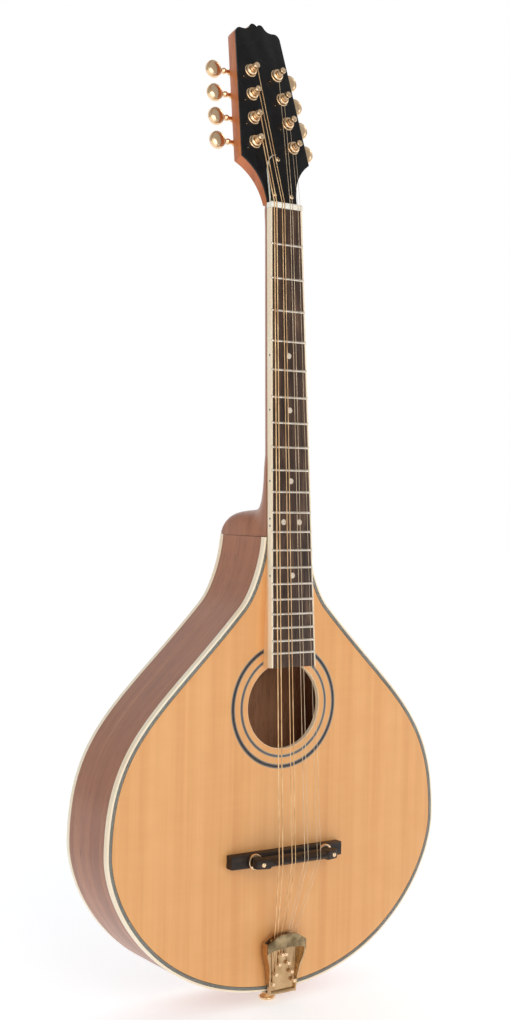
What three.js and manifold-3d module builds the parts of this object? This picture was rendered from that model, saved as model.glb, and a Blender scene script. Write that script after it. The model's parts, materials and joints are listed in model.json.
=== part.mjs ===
// An eight-string, flat-top octave mandolin with a teardrop body, built from 60 separate pieces.
// Units are millimetres. The instrument stands upright: +Z runs along the centreline from the tail
// to the headstock, +X is the treble side, and the soundboard faces -Y.
// The origin is the middle of the strap button's flat end, the lowest point of the instrument.

import * as THREE from 'three';
import { mergeVertices } from 'three/addons/utils/BufferGeometryUtils.js';
import Module from 'manifold-3d';

const wasm = await Module();
wasm.setup();

// ---------------------------------------------------------------- driving dimensions

const GAP = 0.3;                     // clearance between pieces that are glued or pressed together
const DEGREE = Math.PI / 180;

const SCALE = 584.2;                 // string scale, 23 inches
const FRETS = 20;
const JOINT_FRET = 12;               // the neck meets the body at this fret

const BODY = {
  length: 414.5,                     // tail to the joint fret
  depth: 74,
  plate: 3,                          // soundboard and back thickness
  side: 2.3,                         // rim thickness
  neckHalf: 24.5,                    // half width where the outline meets the heel
  widestHalf: 179,
  widestDrop: 273,                   // widest point, below the neck joint
};
const TAIL_Z = 13.5;                 // height of the body's tail above the origin
const JOINT_Z = TAIL_Z + BODY.length;
const BODY_TOP = JOINT_Z - 5;        // the body's upper end, just below the joint fret

const BINDING = { wide: 2.0, tall: 5.5 };
const LINING = { wide: 6, tall: 9 };
const SOUNDHOLE = { radius: 39, drop: 157 };

const NECK_TILT = 3.5 * DEGREE;      // backward angle of the neck against the soundboard
const HEAD_TILT = 12 * DEGREE;       // backward angle of the headstock against the neck
const BOARD = { thick: 6.5, rise: 7.0, nutHalf: 17.2, flare: 0.0166, past: 121, edge: 1.6 };
const FRET_WIRE = { wide: 2.3, top: 1.0, tall: 1.0 };
const NUT = { thick: 5.1, proud: 1.7 };
const NUT_Z = SCALE * Math.pow(2, -JOINT_FRET / 12);   // nut above the neck joint
const HEAD_ROOT_Z = NUT_Z + 6;       // above this the neck's back runs on under the headstock

const HEAD = {
  face: 4.7,                         // front surface, behind the line of the fretboard's face
  overlay: 2.0, thick: 14.0, start: 6.6,
  rootHalf: 16.3, rootThick: 8.2,    // at its root, where it runs into the neck
  shoulder: [37.2, 50.2], tip: [24.8, 176.6],
};
const ROD = { wide: 6, tall: 6, top: 8.2, from: 12, to: 306 };

const TUNER = {
  perSide: 4,
  firstZ: 65.3, pitch: 24.1,         // along the headstock, from its root
  firstX: 21.2, stepX: -2.2,         // the two rows draw together towards the tip
  knobOut: 28,                       // knob centre beyond its post
};
const WORM = { pitchRadius: 2.15, addendum: 0.53, dedendum: 0.72, turns: 2.5, slices: 6 };
const WHEEL = { teeth: 14, pitchRadius: 4.35, addendum: 0.53, dedendum: 0.72, thick: 3.2 };
const LEAD = 2 * Math.PI * WHEEL.pitchRadius / WHEEL.teeth;   // the worm's axial pitch
const MESH_DISTANCE = WORM.pitchRadius + WHEEL.pitchRadius;
const WORM_DEPTH = HEAD.face + 18.6; // worm and wheel centre, behind the fretboard's face line
const POST = { radius: 2.9, waist: 2.3, waistFrom: 5.6, waistTo: 9.0, top: 12.0 };   // heights over the face
const SHAFT_RADIUS = 1.5;
const SLEEVE = { radius: 4.2, bore: 3.1, collar: 6.2, collarTall: 4.0 };
const SHELL = {
  half: 8, below: 7.4, above: 10.8, wall: 1.1,
  front: HEAD.face + HEAD.thick + 0.4, back: HEAD.face + 23.8,
};

const BRIDGE_Z = JOINT_Z - SCALE / 2 + 0.5;
const STRING_Y = -29.5;              // string centres over the saddle
const BRIDGE_X = 1.5;                // the floating bridge stands a little to the treble side
const FOOT = { half: 60.6, tall: 10, wide: 12, corner: 1.2 };
const SADDLE = { half: 44.4, low: -14.9, high: -28.5, wide: 8, crest: 2.0, cap: 32, shoulderY: -26.4, round: 4.4 };
const STUD = { x: 38.4, radius: 2.0, top: -27.6 };
const THUMBWHEEL = { radius: 7, bore: 2.35, low: -11.5, high: -14.3 };

const STRING = {
  nutCourse: [13.1, 4.4], nutPair: 1.3,            // outer and inner course centres, half pair gap
  saddleCourse: [20.9, 6.95], saddlePair: 1.9,
  combCourse: [10.0, 3.4], combPair: 1.5,
  bass: [1.1, 0.8], treble: [0.35, 0.5],           // diameters, outer course then inner course
  nutY: -1.35,
};

const TAILPIECE = {
  topZ: JOINT_Z - 361, roofHalf: 9, cornerZ: JOINT_Z - 368.5, topHalf: 21.2, tailHalf: 14.4,
  // Half widths and heights up its side, between the tail and the top corner.
  flare: [[16.6, JOINT_Z - 397.5], [18.3, JOINT_Z - 388], [21.2, JOINT_Z - 378]],
  stand: 3.2,                        // how far the plate stands off the soundboard
  plate: 2, wall: 1.8, wallTop: -12.3, wallTail: -7.5, tabDepth: 34, tabThick: 1.5,
  barFront: -13.8, barBack: -11.4, barLow: JOINT_Z - 373, barEnd: JOINT_Z - 378,
  rest: -7.8, restHalf: 14, restLow: JOINT_Z - 369, restHigh: JOINT_Z - 366.2,
  pegDrop: 20, pegPitch: 8.4, pegTop: -9.6, loopY: -6.9,
};
const BUTTON = { inset: 18, shank: 3.0, collar: 7.6, waist: 4.6, flange: 7.8, flat: 5.6, reach: 30 };

// ---------------------------------------------------------------- finishes

const FINISHES = {
  mahogany: [0x9a6448, 0.35, 0],
  spruce: [0xe4ad74, 0.35, 0],
  cream: [0xe9d3aa, 0.4, 0],
  rosewood: [0x4a3a34, 0.5, 0],
  black: [0x141312, 0.15, 0],
  gold: [0xd2a85c, 0.25, 1],
  bronze: [0xc59a63, 0.35, 1],
  steel: [0xc9c9c6, 0.3, 1],
  bone: [0xf1ecdd, 0.45, 0],
};

// ---------------------------------------------------------------- solid helpers

function toSolid(geometry) {
  const clean = geometry.clone();
  clean.deleteAttribute('normal');
  clean.deleteAttribute('uv');
  const merged = mergeVertices(clean, 1e-4);
  return new wasm.Manifold(new wasm.Mesh({
    numProp: 3,
    vertProperties: new Float32Array(merged.attributes.position.array),
    triVerts: new Uint32Array(merged.index.array),
  }));
}

function toGeometry(manifold) {
  const mesh = manifold.asOriginal().simplify(0.004).getMesh();
  const geometry = new THREE.BufferGeometry();
  geometry.setAttribute('position', new THREE.BufferAttribute(new Float32Array(mesh.vertProperties), 3));
  geometry.setIndex(new THREE.BufferAttribute(new Uint32Array(mesh.triVerts), 1));
  return geometry;
}

function join(...geometries) {
  return toGeometry(geometries.map(toSolid).reduce((sum, next) => sum.add(next)));
}

function cut(geometry, ...tools) {
  return toGeometry(tools.map(toSolid).reduce((rest, tool) => rest.subtract(tool), toSolid(geometry)));
}

function overlap(first, second) {
  return toGeometry(toSolid(first).intersect(toSolid(second)));
}

function signedVolume(points, triangles) {
  let sum = 0;
  for (const [a, b, c] of triangles) {
    sum += points[a].dot(new THREE.Vector3().crossVectors(points[b], points[c]));
  }
  return sum / 6;
}

// A skin over rings of points, closed at each end by a fan about the ring's middle.
function loft(rings) {
  const count = rings[0].length;
  const points = rings.flat();
  const triangles = [];
  for (let r = 0; r + 1 < rings.length; r += 1) {
    for (let i = 0; i < count; i += 1) {
      const a = r * count + i;
      const b = r * count + (i + 1) % count;
      triangles.push([a, b, b + count], [a, b + count, a + count]);
    }
  }
  for (const start of [0, (rings.length - 1) * count]) {
    const middle = new THREE.Vector3();
    for (let i = 0; i < count; i += 1) middle.add(points[start + i]);
    points.push(middle.divideScalar(count));
    for (let i = 0; i < count; i += 1) {
      const edge = [start + i, start + (i + 1) % count];
      if (start === 0) edge.reverse();
      triangles.push([edge[0], edge[1], points.length - 1]);
    }
  }
  if (signedVolume(points, triangles) < 0) triangles.forEach((triangle) => triangle.reverse());
  const geometry = new THREE.BufferGeometry();
  geometry.setAttribute('position', new THREE.Float32BufferAttribute(points.flatMap((p) => p.toArray()), 3));
  geometry.setIndex(triangles.flat());
  return geometry;
}

// A round cord along a list of points.
function tube(route, radius, sides) {
  const side = new THREE.Vector3(1, 0, 0);
  const rings = route.map((point, i) => {
    const before = route[Math.max(i - 1, 0)];
    const after = route[Math.min(i + 1, route.length - 1)];
    const along = new THREE.Vector3().subVectors(after, before).normalize();
    const up = new THREE.Vector3().crossVectors(along, side).normalize();
    const out = new THREE.Vector3().crossVectors(up, along).normalize();
    return Array.from({ length: sides }, (_, k) => {
      const angle = 2 * Math.PI * k / sides;
      return point.clone()
        .addScaledVector(out, radius * Math.cos(angle))
        .addScaledVector(up, radius * Math.sin(angle));
    });
  });
  return loft(rings);
}

function shapeOf(points) {
  return new THREE.Shape(points.map(([x, y]) => new THREE.Vector2(x, y)));
}

// A flat shape drawn in X and Z, thickened from yFront to yBack.
function slab(shape, yFront, yBack, curveSegments = 12) {
  const geometry = new THREE.ExtrudeGeometry(shape, { depth: yBack - yFront, bevelEnabled: false, curveSegments });
  return geometry.rotateX(Math.PI / 2).translate(0, yBack, 0);
}

// A flat shape drawn in Y and Z, thickened from -half to +half in X.
function sideSlab(points, half) {
  const shape = shapeOf(points);
  const geometry = new THREE.ExtrudeGeometry(shape, { depth: 2 * half, bevelEnabled: false });
  // X of the drawing becomes Y, Y becomes Z, and the thickness becomes X.
  const turn = new THREE.Matrix4().set(0, 0, 1, -half, 1, 0, 0, 0, 0, 1, 0, 0, 0, 0, 0, 1);
  return geometry.applyMatrix4(turn);
}

// A flat shape drawn in X and Y, thickened from zLow to zHigh.
function upright(points, zLow, zHigh) {
  return new THREE.ExtrudeGeometry(shapeOf(points), { depth: zHigh - zLow, bevelEnabled: false }).translate(0, 0, zLow);
}

function block(x0, x1, y0, y1, z0, z1) {
  return new THREE.BoxGeometry(x1 - x0, y1 - y0, z1 - z0).translate((x0 + x1) / 2, (y0 + y1) / 2, (z0 + z1) / 2);
}

// A round bar whose axis is 'x', 'y' or 'z', between two stations on that axis.
function bar(axis, radius, from, to, sides = 12) {
  const geometry = new THREE.CylinderGeometry(radius, radius, to - from, sides).translate(0, (from + to) / 2, 0);
  if (axis === 'x') geometry.rotateZ(-Math.PI / 2);
  if (axis === 'z') geometry.rotateX(Math.PI / 2);
  return geometry;
}

function lathe(profile, sides) {
  return new THREE.LatheGeometry(profile.map(([r, h]) => new THREE.Vector2(r, h)), sides);
}

// ---------------------------------------------------------------- frames

const instrument = new THREE.Group();
instrument.position.y = -BUTTON.inset;

// Neck frame: the fretboard's face is y = 0 and the joint fret is z = 0.
const neckFrame = new THREE.Group();
neckFrame.position.set(0, -BOARD.rise, JOINT_Z);
neckFrame.rotation.x = -NECK_TILT;
instrument.add(neckFrame);

// Head frame: its root is the nut end of the fretboard's face.
const headFrame = new THREE.Group();
headFrame.position.z = NUT_Z;
headFrame.rotation.x = -HEAD_TILT;
neckFrame.add(headFrame);

neckFrame.updateMatrix();
headFrame.updateMatrix();
const neckToBody = neckFrame.matrix.clone();
const headToBody = neckToBody.clone().multiply(headFrame.matrix);
const bodyToNeck = neckToBody.clone().invert();

function addPiece(frame, name, finish, geometry) {
  const [color, roughness, metalness] = FINISHES[finish];
  const mesh = new THREE.Mesh(geometry, new THREE.MeshStandardMaterial({ color, roughness, metalness }));
  mesh.name = name;
  frame.add(mesh);
  return mesh;
}

// ---------------------------------------------------------------- body outline

function cubic(a, b, c, d, steps) {
  const curve = new THREE.CubicBezierCurve(...[a, b, c, d].map(([x, y]) => new THREE.Vector2(x, y)));
  return Array.from({ length: steps }, (_, i) => {
    const t = i / steps;
    return { point: curve.getPoint(t), along: curve.getTangent(t) };
  });
}

// The treble half of the outline, from the tail to the neck joint, in X and Z.
const halfOutline = (() => {
  const tail = [0, TAIL_Z];
  const widest = [BODY.widestHalf, JOINT_Z - BODY.widestDrop];
  const shoulder = [47.5, JOINT_Z - 68];
  const joint = [BODY.neckHalf, BODY_TOP];
  return [
    ...cubic(tail, [122, TAIL_Z], [widest[0], widest[1] - 52], widest, 12),
    ...cubic(widest, [widest[0], widest[1] + 98], [shoulder[0] + 81, shoulder[1] - 87], shoulder, 11),
    ...cubic(shoulder, [shoulder[0] - 14.5, shoulder[1] + 15.5], [joint[0], joint[1] - 13], joint, 5),
    { point: new THREE.Vector2(...joint), along: new THREE.Vector2(0, 1) },
  ];
})();

// The half outline moved inwards, as [x, z] pairs.
function edge(inset) {
  return halfOutline.map(({ point, along }) => [point.x - along.y * inset, point.y + along.x * inset]);
}

function mirrored(points) {
  return points.map(([x, z]) => [-x, z]);
}

function plateOutline(inset) {
  const half = edge(inset);
  return [...half, ...mirrored(half).slice(1).reverse()];
}

// A band that runs round the whole body from one side of the neck to the other.
function bandOutline(outer, inner, keep = () => true) {
  const far = edge(outer).filter(keep);
  const near = edge(inner).filter(keep);
  return [
    ...mirrored(far).slice(1).reverse(), ...far,
    ...[...near].reverse(), ...mirrored(near).slice(1),
  ];
}

const INNER = BODY.side + GAP;
const BACK_IN = BODY.depth - BODY.plate - GAP;
const BLOCK_Z = JOINT_Z - 50;

function addBody() {
  const hole = new THREE.Path();
  hole.absarc(0, JOINT_Z - SOUNDHOLE.drop, SOUNDHOLE.radius, 0, 2 * Math.PI, true);
  const top = shapeOf(plateOutline(BINDING.wide + GAP));
  top.holes.push(hole);
  addPiece(instrument, 'soundboard', 'spruce', slab(top, 0, BODY.plate, 16));
  const back = shapeOf(plateOutline(BINDING.wide + GAP));
  addPiece(instrument, 'back_plate', 'mahogany', slab(back, BODY.depth - BODY.plate, BODY.depth));

  const trim = shapeOf(bandOutline(0, BINDING.wide));
  addPiece(instrument, 'top_binding', 'cream', slab(trim, 0, BINDING.tall));
  addPiece(instrument, 'back_binding', 'cream', slab(trim, BODY.depth - BINDING.tall, BODY.depth));

  const buttonHole = bar('z', BUTTON.shank + GAP, 0, TAIL_Z + BUTTON.reach, 16).translate(0, BUTTON.inset, 0);
  for (const [name, side] of [['rim_bass', -1], ['rim_treble', 1]]) {
    const half = [...edge(0), ...edge(BODY.side).reverse()];
    const seam = half.map(([x, z]) => [side * Math.max(x, GAP / 2), z]);
    const wall = slab(shapeOf(seam), BINDING.tall + GAP, BODY.depth - BINDING.tall - GAP);
    addPiece(instrument, name, 'mahogany', cut(wall, buttonHole));
  }

  const lined = ([, z]) => z < BLOCK_Z - 1;
  const lining = shapeOf(bandOutline(INNER, INNER + LINING.wide, lined));
  const plateIn = BODY.plate + GAP;
  addPiece(instrument, 'top_lining', 'mahogany', slab(lining, plateIn, plateIn + LINING.tall));
  addPiece(instrument, 'back_lining', 'mahogany', slab(lining, BACK_IN - LINING.tall, BACK_IN));

  const nearNeck = edge(INNER).filter(([, z]) => z > BLOCK_Z && z < BODY_TOP - 1);
  const blockSide = [[nearNeck[0][0], BLOCK_Z], ...nearNeck, [BODY.neckHalf - INNER, BODY_TOP - GAP]];
  const blockShape = shapeOf([...blockSide, ...mirrored(blockSide).reverse()]);
  addPiece(instrument, 'neck_block', 'mahogany', slab(blockShape, plateIn, BACK_IN));

  const tailHalf = 36;
  const tailTop = TAIL_Z + 24;
  const nearTail = edge(INNER).filter(([x, z]) => x < tailHalf && z < tailTop);
  const tailSide = [...nearTail, [nearTail[nearTail.length - 1][0], tailTop]];
  const tailShape = shapeOf([...tailSide, ...mirrored(tailSide).slice(1).reverse()]);
  const tailFront = plateIn + LINING.tall + GAP;
  const tailBlock = slab(tailShape, tailFront, BODY.depth - tailFront);
  addPiece(instrument, 'tail_block', 'mahogany', cut(tailBlock, buttonHole));
}

// ---------------------------------------------------------------- braces

function strip(x0, drop0, x1, drop1, wide, yFront, yBack) {
  const from = new THREE.Vector2(x0, JOINT_Z - drop0);
  const to = new THREE.Vector2(x1, JOINT_Z - drop1);
  const along = to.clone().sub(from).normalize().multiplyScalar(wide / 2);
  const corners = [
    [from.x + along.y, from.y - along.x], [to.x + along.y, to.y - along.x],
    [to.x - along.y, to.y + along.x], [from.x - along.y, from.y + along.x],
  ];
  return slab(shapeOf(corners), yFront, yBack);
}

function addBraces() {
  const front = BODY.plate + GAP;
  const cross = join(
    strip(-115, 340, 78, 147, 7, front, front + 9),
    strip(115, 340, -78, 147, 7, front, front + 9),
  );
  addPiece(instrument, 'x_brace', 'spruce', cross);
  addPiece(instrument, 'upper_brace', 'spruce', strip(-58, 98, 58, 98, 8, front, front + 9));
  addPiece(instrument, 'back_brace_upper', 'spruce', strip(-72, 112, 72, 112, 8, BACK_IN - 9, BACK_IN));
  addPiece(instrument, 'back_brace_lower', 'spruce', strip(-162, 262, 162, 262, 8, BACK_IN - 9, BACK_IN));
}

// ---------------------------------------------------------------- neck and headstock

function boardHalf(z) {
  return BOARD.nutHalf + BOARD.flare * (NUT_Z - z);
}

// One D-shaped section of the neck, flat under the fretboard.
function neckSection(z, depth) {
  const flat = BOARD.thick + GAP;
  const half = z > HEAD_ROOT_Z ? HEAD.rootHalf - 0.2 : Math.min(boardHalf(z), boardHalf(0));
  const steps = 10;
  return Array.from({ length: steps + 1 }, (_, i) => {
    const angle = Math.PI * i / steps;
    const y = flat + depth * Math.pow(Math.sin(angle), 1.1);
    return new THREE.Vector3(half * Math.cos(angle), y, z);
  });
}

// The treble half of the headstock outline, from its root to its tip, in the head frame.
function headOutline(start) {
  const { shoulder, tip, rootHalf } = HEAD;
  const [tipX, tipZ] = tip;
  const middle = [0, tipZ + 9.2];
  const scroll = [
    ...cubic([rootHalf, start], [rootHalf, 26], [23, 40.5], shoulder, 8),
    ...cubic(shoulder, shoulder, tip, tip, 1),
    ...cubic(tip, [tipX - 0.8, tipZ + 3], [tipX - 2.7, tipZ + 5], [tipX - 5.7, tipZ + 5], 3),
    ...cubic([tipX - 5.7, tipZ + 5], [13, tipZ + 4], [9.5, tipZ + 5.5], [7.6, tipZ + 9.2], 4),
    ...cubic([7.6, tipZ + 9.2], [6, tipZ + 12.4], [2.2, tipZ + 12.2], middle, 4),
  ].map(({ point }) => [point.x, point.y]);
  scroll.push(middle);
  return [...scroll, ...mirrored(scroll).slice(0, -1).reverse()];
}

function tunerPlaces() {
  const places = [];
  for (const side of [-1, 1]) {
    for (let i = 0; i < TUNER.perSide; i += 1) {
      const number = (side < 0 ? 0 : TUNER.perSide) + i + 1;
      places.push({ number, side, i, x: side * (TUNER.firstX + TUNER.stepX * i), z: TUNER.firstZ + TUNER.pitch * i });
    }
  }
  return places;
}

function addNeck() {
  const sections = [
    [328, 18.2], [318, 16.9], [308, 15], [298.5, 13.4], [298, 13.3], [270, 13.3], [200, 14], [130, 14.8], [70, 15.6], [45, 16.4], [25, 18], [-6, 19],
  ];
  const shaft = loft(sections.map(([z, depth]) => neckSection(z, depth)));

  // The heel, drawn from the side: a foot as deep as the body with a rounded back corner.
  const deep = BODY.depth;
  const heelSide = [
    [1.5, -2], [deep, -2], [deep, 1], [deep - 2.5, 6.5], [deep - 8.5, 13], [deep - 14, 16.4], [deep - 21, 18.8],
    [deep - 30, 20.4], [34, 21], [28, 21.8], [24, 23.8], [21, 27], [18.5, 31.5], [16, 38], [13, 48], [10, 62],
    [8, 62], [1.5, 24],
  ];
  const heelPlan = [
    [-22.1, -5], [22.1, -5], [22.1, 20], [24.2, 45], [24.2, 66], [23.4, 71], [21, deep], [-21, deep],
    [-23.4, 71], [-24.2, 66], [-24.2, 45], [-22.1, 20],
  ];
  const heel = overlap(sideSlab(heelSide, 30), upright(heelPlan, -5, 80));
  heel.translate(0, 0, BODY_TOP).applyMatrix4(bodyToNeck);

  const headShape = shapeOf(headOutline(HEAD.start));
  // The headstock's core, whose back slopes forward from the shoulders down to its root.
  const coreBack = HEAD.face + HEAD.thick;
  const slope = sideSlab([
    [HEAD.face + HEAD.rootThick, HEAD.start - 2], [coreBack + 1, HEAD.start - 2],
    [coreBack + 1, HEAD.shoulder[1]], [coreBack, HEAD.shoulder[1]],
  ], 60);
  const core = cut(slab(headShape, HEAD.face + HEAD.overlay + GAP, coreBack), slope);
  core.applyMatrix4(headFrame.matrix);

  const jointFace = block(-60, 60, -40, 120, JOINT_Z - 60, BODY_TOP + GAP).applyMatrix4(bodyToNeck);
  const underBoard = block(-40, 40, -20, BOARD.thick + GAP, -10, NUT_Z + NUT.thick + 0.6);
  const overlaySeat = block(-60, 60, -30, HEAD.face + HEAD.overlay + GAP, HEAD.start - GAP, 220);
  overlaySeat.applyMatrix4(headFrame.matrix);
  const rodSlot = block(-ROD.wide / 2 - GAP, ROD.wide / 2 + GAP, 0, ROD.top + ROD.tall + GAP, ROD.from - 1, ROD.to + 1);
  const holes = tunerPlaces().map(({ x, z }) => bar('y', SLEEVE.radius + GAP, 0, 40, 10)
    .translate(x, 0, z).applyMatrix4(headFrame.matrix));
  addPiece(neckFrame, 'neck', 'mahogany', cut(join(shaft, heel, core), jointFace, underBoard, overlaySeat, rodSlot, ...holes));

  const window = block(-5, 5, 0, HEAD.face + HEAD.overlay + 1, 7.5, 30);
  const overlayHoles = tunerPlaces().map(({ x, z }) => bar('y', SLEEVE.radius + GAP, 0, 40, 10).translate(x, 0, z));
  const overlay = slab(headShape, HEAD.face, HEAD.face + HEAD.overlay);
  addPiece(headFrame, 'headstock_overlay', 'black', cut(overlay, window, ...overlayHoles));

  const rod = block(-ROD.wide / 2, ROD.wide / 2, ROD.top, ROD.top + ROD.tall, ROD.from, ROD.to);
  addPiece(neckFrame, 'truss_rod', 'steel', rod);

  const bell = [
    ...cubic([15.2, 6.9], [14.2, 16], [13.8, 28], [13, 38.5], 3),
    ...cubic([13, 38.5], [12.2, 47], [7.5, 55], [0, 55.5], 7),
  ].map(({ point }) => [point.x, point.y]);
  const bellShape = shapeOf([...bell, [0, 55.5], ...mirrored(bell).reverse()]);
  const coverBack = HEAD.face - GAP;
  addPiece(headFrame, 'truss_rod_cover', 'black', slab(bellShape, coverBack - 2.2, coverBack));
}

// ---------------------------------------------------------------- fretboard

function fretZ(n) {
  return NUT_Z - SCALE * (1 - Math.pow(2, -n / 12));
}

function addFretboard() {
  const end = -BOARD.past;
  const inset = BOARD.edge + GAP;
  const foot = end;
  const core = slab(shapeOf([
    [-(boardHalf(foot) - inset), foot], [boardHalf(foot) - inset, foot],
    [BOARD.nutHalf - inset, NUT_Z], [-(BOARD.nutHalf - inset), NUT_Z],
  ]), 0, BOARD.thick);
  const crowns = Array.from({ length: FRETS }, (_, i) => {
    const z = fretZ(i + 1);
    const half = boardHalf(z) - inset;
    const low = FRET_WIRE.wide / 2;
    const high = FRET_WIRE.top / 2;
    return sideSlab([[0.3, z - low], [0.3, z + low], [-FRET_WIRE.tall, z + high], [-FRET_WIRE.tall, z - high]], half);
  });
  const wall = BOARD.edge;
  const linkFront = BOARD.thick - 1.3;
  const linkRoom = block(-40, 40, linkFront - GAP, BOARD.thick + 1, end - 1, end + wall + GAP);
  addPiece(neckFrame, 'fretboard', 'rosewood', cut(join(core, ...crowns), linkRoom));

  // The binding runs along both edges, and its strips are joined by a link under the end of the board.
  const strips = [-1, 1].map((side) => {
    const strip = [
      [side * BOARD.nutHalf, NUT_Z], [side * boardHalf(end), end],
      [side * (boardHalf(end) - wall), end], [side * (BOARD.nutHalf - wall), NUT_Z],
    ];
    return slab(shapeOf(side < 0 ? strip : strip.reverse()), 0, BOARD.thick);
  });
  const reach = boardHalf(end) - wall / 2;
  const link = block(-reach, reach, linkFront, BOARD.thick, end, end + wall);
  addPiece(neckFrame, 'fretboard_binding', 'cream', join(link, ...strips));

  const nutBlock = block(-BOARD.nutHalf, BOARD.nutHalf, -NUT.proud, BOARD.thick, NUT_Z + GAP, NUT_Z + NUT.thick);
  const slots = stringPlans().map(({ nutX, radius }) => {
    const half = radius + 0.2;
    return block(nutX - half, nutX + half, -5, STRING.nutY + half, NUT_Z - 5, NUT_Z + 15);
  });
  addPiece(neckFrame, 'nut', 'bone', cut(nutBlock, ...slots));

  // A wedge that fills the rising gap between the soundboard and the end of the fretboard.
  const thin = -GAP - 0.35;
  const start = new THREE.Vector3(0, BOARD.thick + GAP, -9).applyMatrix4(neckToBody);
  const stop = new THREE.Vector3(0, BOARD.thick + GAP, end + 1).applyMatrix4(neckToBody);
  const wedge = sideSlab([[-GAP, start.z], [-GAP, stop.z], [stop.y, stop.z], [Math.min(start.y, thin), start.z]], 30);
  const plan = slab(shapeOf([
    [-boardHalf(stop.z - JOINT_Z), stop.z], [boardHalf(stop.z - JOINT_Z), stop.z],
    [boardHalf(0), start.z], [-boardHalf(0), start.z],
  ]), -30, 10);
  addPiece(instrument, 'fretboard_riser', 'spruce', overlap(wedge, plan));
}

// ---------------------------------------------------------------- tuning machines

// The worm: a single-start thread, drawn as a lobed section that turns as it advances.
function wormThread() {
  const tip = WORM.pitchRadius + WORM.addendum;
  const root = WORM.pitchRadius - WORM.dedendum;
  const lobe = [[-38, tip], [0, tip], [38, tip], [88, root], [150, root], [210, root], [272, root]];
  const slices = Math.round(WORM.turns * WORM.slices);
  const rings = Array.from({ length: slices + 1 }, (_, s) => {
    const turn = 2 * Math.PI * WORM.turns * (s / slices - 0.5);
    const x = LEAD * turn / (2 * Math.PI);
    return lobe.map(([degrees, radius]) => {
      const angle = turn + degrees * DEGREE;
      return new THREE.Vector3(x, radius * Math.sin(angle), -radius * Math.cos(angle));
    });
  });
  return loft(rings);
}

// The wheel: skewed teeth that match the thread's slope, with a gap facing the worm at rest.
function wormWheel() {
  const tip = WHEEL.pitchRadius + WHEEL.addendum;
  const root = WHEEL.pitchRadius - WHEEL.dedendum;
  const skew = LEAD / (2 * Math.PI * WORM.pitchRadius) / WHEEL.pitchRadius;
  const step = 2 * Math.PI / WHEEL.teeth;
  const rings = [-WHEEL.thick / 2, WHEEL.thick / 2].map((y) => {
    const ring = [];
    for (let tooth = 0; tooth < WHEEL.teeth; tooth += 1) {
      for (const [part, radius] of [[-0.11, tip], [0.11, tip], [0.5, root]]) {
        const angle = step * (tooth + 0.5 + part) + skew * y;
        ring.push(new THREE.Vector3(radius * Math.sin(angle), y, radius * Math.cos(angle)));
      }
    }
    return ring;
  });
  return loft(rings);
}

function roundSection(x, halfAcross, halfThick, sides) {
  return Array.from({ length: sides }, (_, k) => {
    const angle = 2 * Math.PI * (k + 0.5) / sides;
    return new THREE.Vector3(x, halfThick * Math.sin(angle), halfAcross * Math.cos(angle));
  });
}

function knob(side) {
  const wormEnd = LEAD * WORM.turns / 2;
  const middle = TUNER.knobOut;
  const shaft = bar('x', SHAFT_RADIUS, wormEnd - 0.1, middle - 7.5, 8);
  // The button, an oval disc in sections from its neck to its rim.
  const button = loft([[-8.2, 2.2, 2.2], [-5.8, 6.4, 2.9], [0, 8.6, 3.9], [5.6, 6.6, 3.3], [8, 2.8, 2.2]]
    .map(([x, across, thick]) => roundSection(middle + x, across, thick, 10)));
  const outer = join(shaft, button);
  if (side < 0) outer.rotateY(Math.PI);
  return join(wormThread(), outer);
}

function post() {
  const back = SHELL.back - SHELL.wall - 0.3;
  const { face } = HEAD;
  const stem = lathe([
    [0, face - POST.top], [POST.radius, face - POST.top],
    [POST.radius, face - POST.waistTo], [POST.waist, face - POST.waistTo + 0.6],
    [POST.waist, face - POST.waistFrom - 0.6], [POST.radius, face - POST.waistFrom],
    [POST.radius, back], [0, back],
  ], 10);
  return join(stem, wormWheel().translate(0, WORM_DEPTH, 0));
}

// The gearbox on the back of the headstock, with the sleeve and collar that hold it to the wood.
function housing(side) {
  const box = block(-SHELL.half, SHELL.half, SHELL.front, SHELL.back, -SHELL.below, SHELL.above);
  const sleeve = bar('y', SLEEVE.radius, HEAD.face - 1, SHELL.front + 1, 10);
  const collar = bar('y', SLEEVE.collar, HEAD.face - GAP - SLEEVE.collarTall, HEAD.face - GAP, 12);
  const floor = SHELL.back - SHELL.wall;
  const wheelRoom = bar('y', WHEEL.pitchRadius + WHEEL.addendum + 0.7, WORM_DEPTH - WHEEL.thick / 2 - 0.4, floor, 10);
  const wormEnd = LEAD * WORM.turns / 2 + 0.4;
  const wormRoom = bar('x', WORM.pitchRadius + WORM.addendum + 0.6, -wormEnd, wormEnd, 8).translate(0, WORM_DEPTH, MESH_DISTANCE);
  const shaftBore = bar('x', SHAFT_RADIUS + 0.2, 0, SHELL.half + 1, 8).translate(0, WORM_DEPTH, side * MESH_DISTANCE);
  if (side < 0) shaftBore.rotateY(Math.PI);
  const postBore = bar('y', SLEEVE.bore, -20, floor, 10);
  return cut(join(box, sleeve, collar), wheelRoom, wormRoom, shaftBore, postBore);
}

function addTuners() {
  for (const { number, side, x, z } of tunerPlaces()) {
    addPiece(headFrame, `tuner_housing_${number}`, 'gold', housing(side)).position.set(x, 0, z);
    addPiece(headFrame, `string_post_${number}`, 'gold', post()).position.set(x, 0, z);
    addPiece(headFrame, `tuner_knob_${number}`, 'gold', knob(side)).position.set(x, WORM_DEPTH, z + MESH_DISTANCE);
  }
}

// ---------------------------------------------------------------- strings

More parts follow.
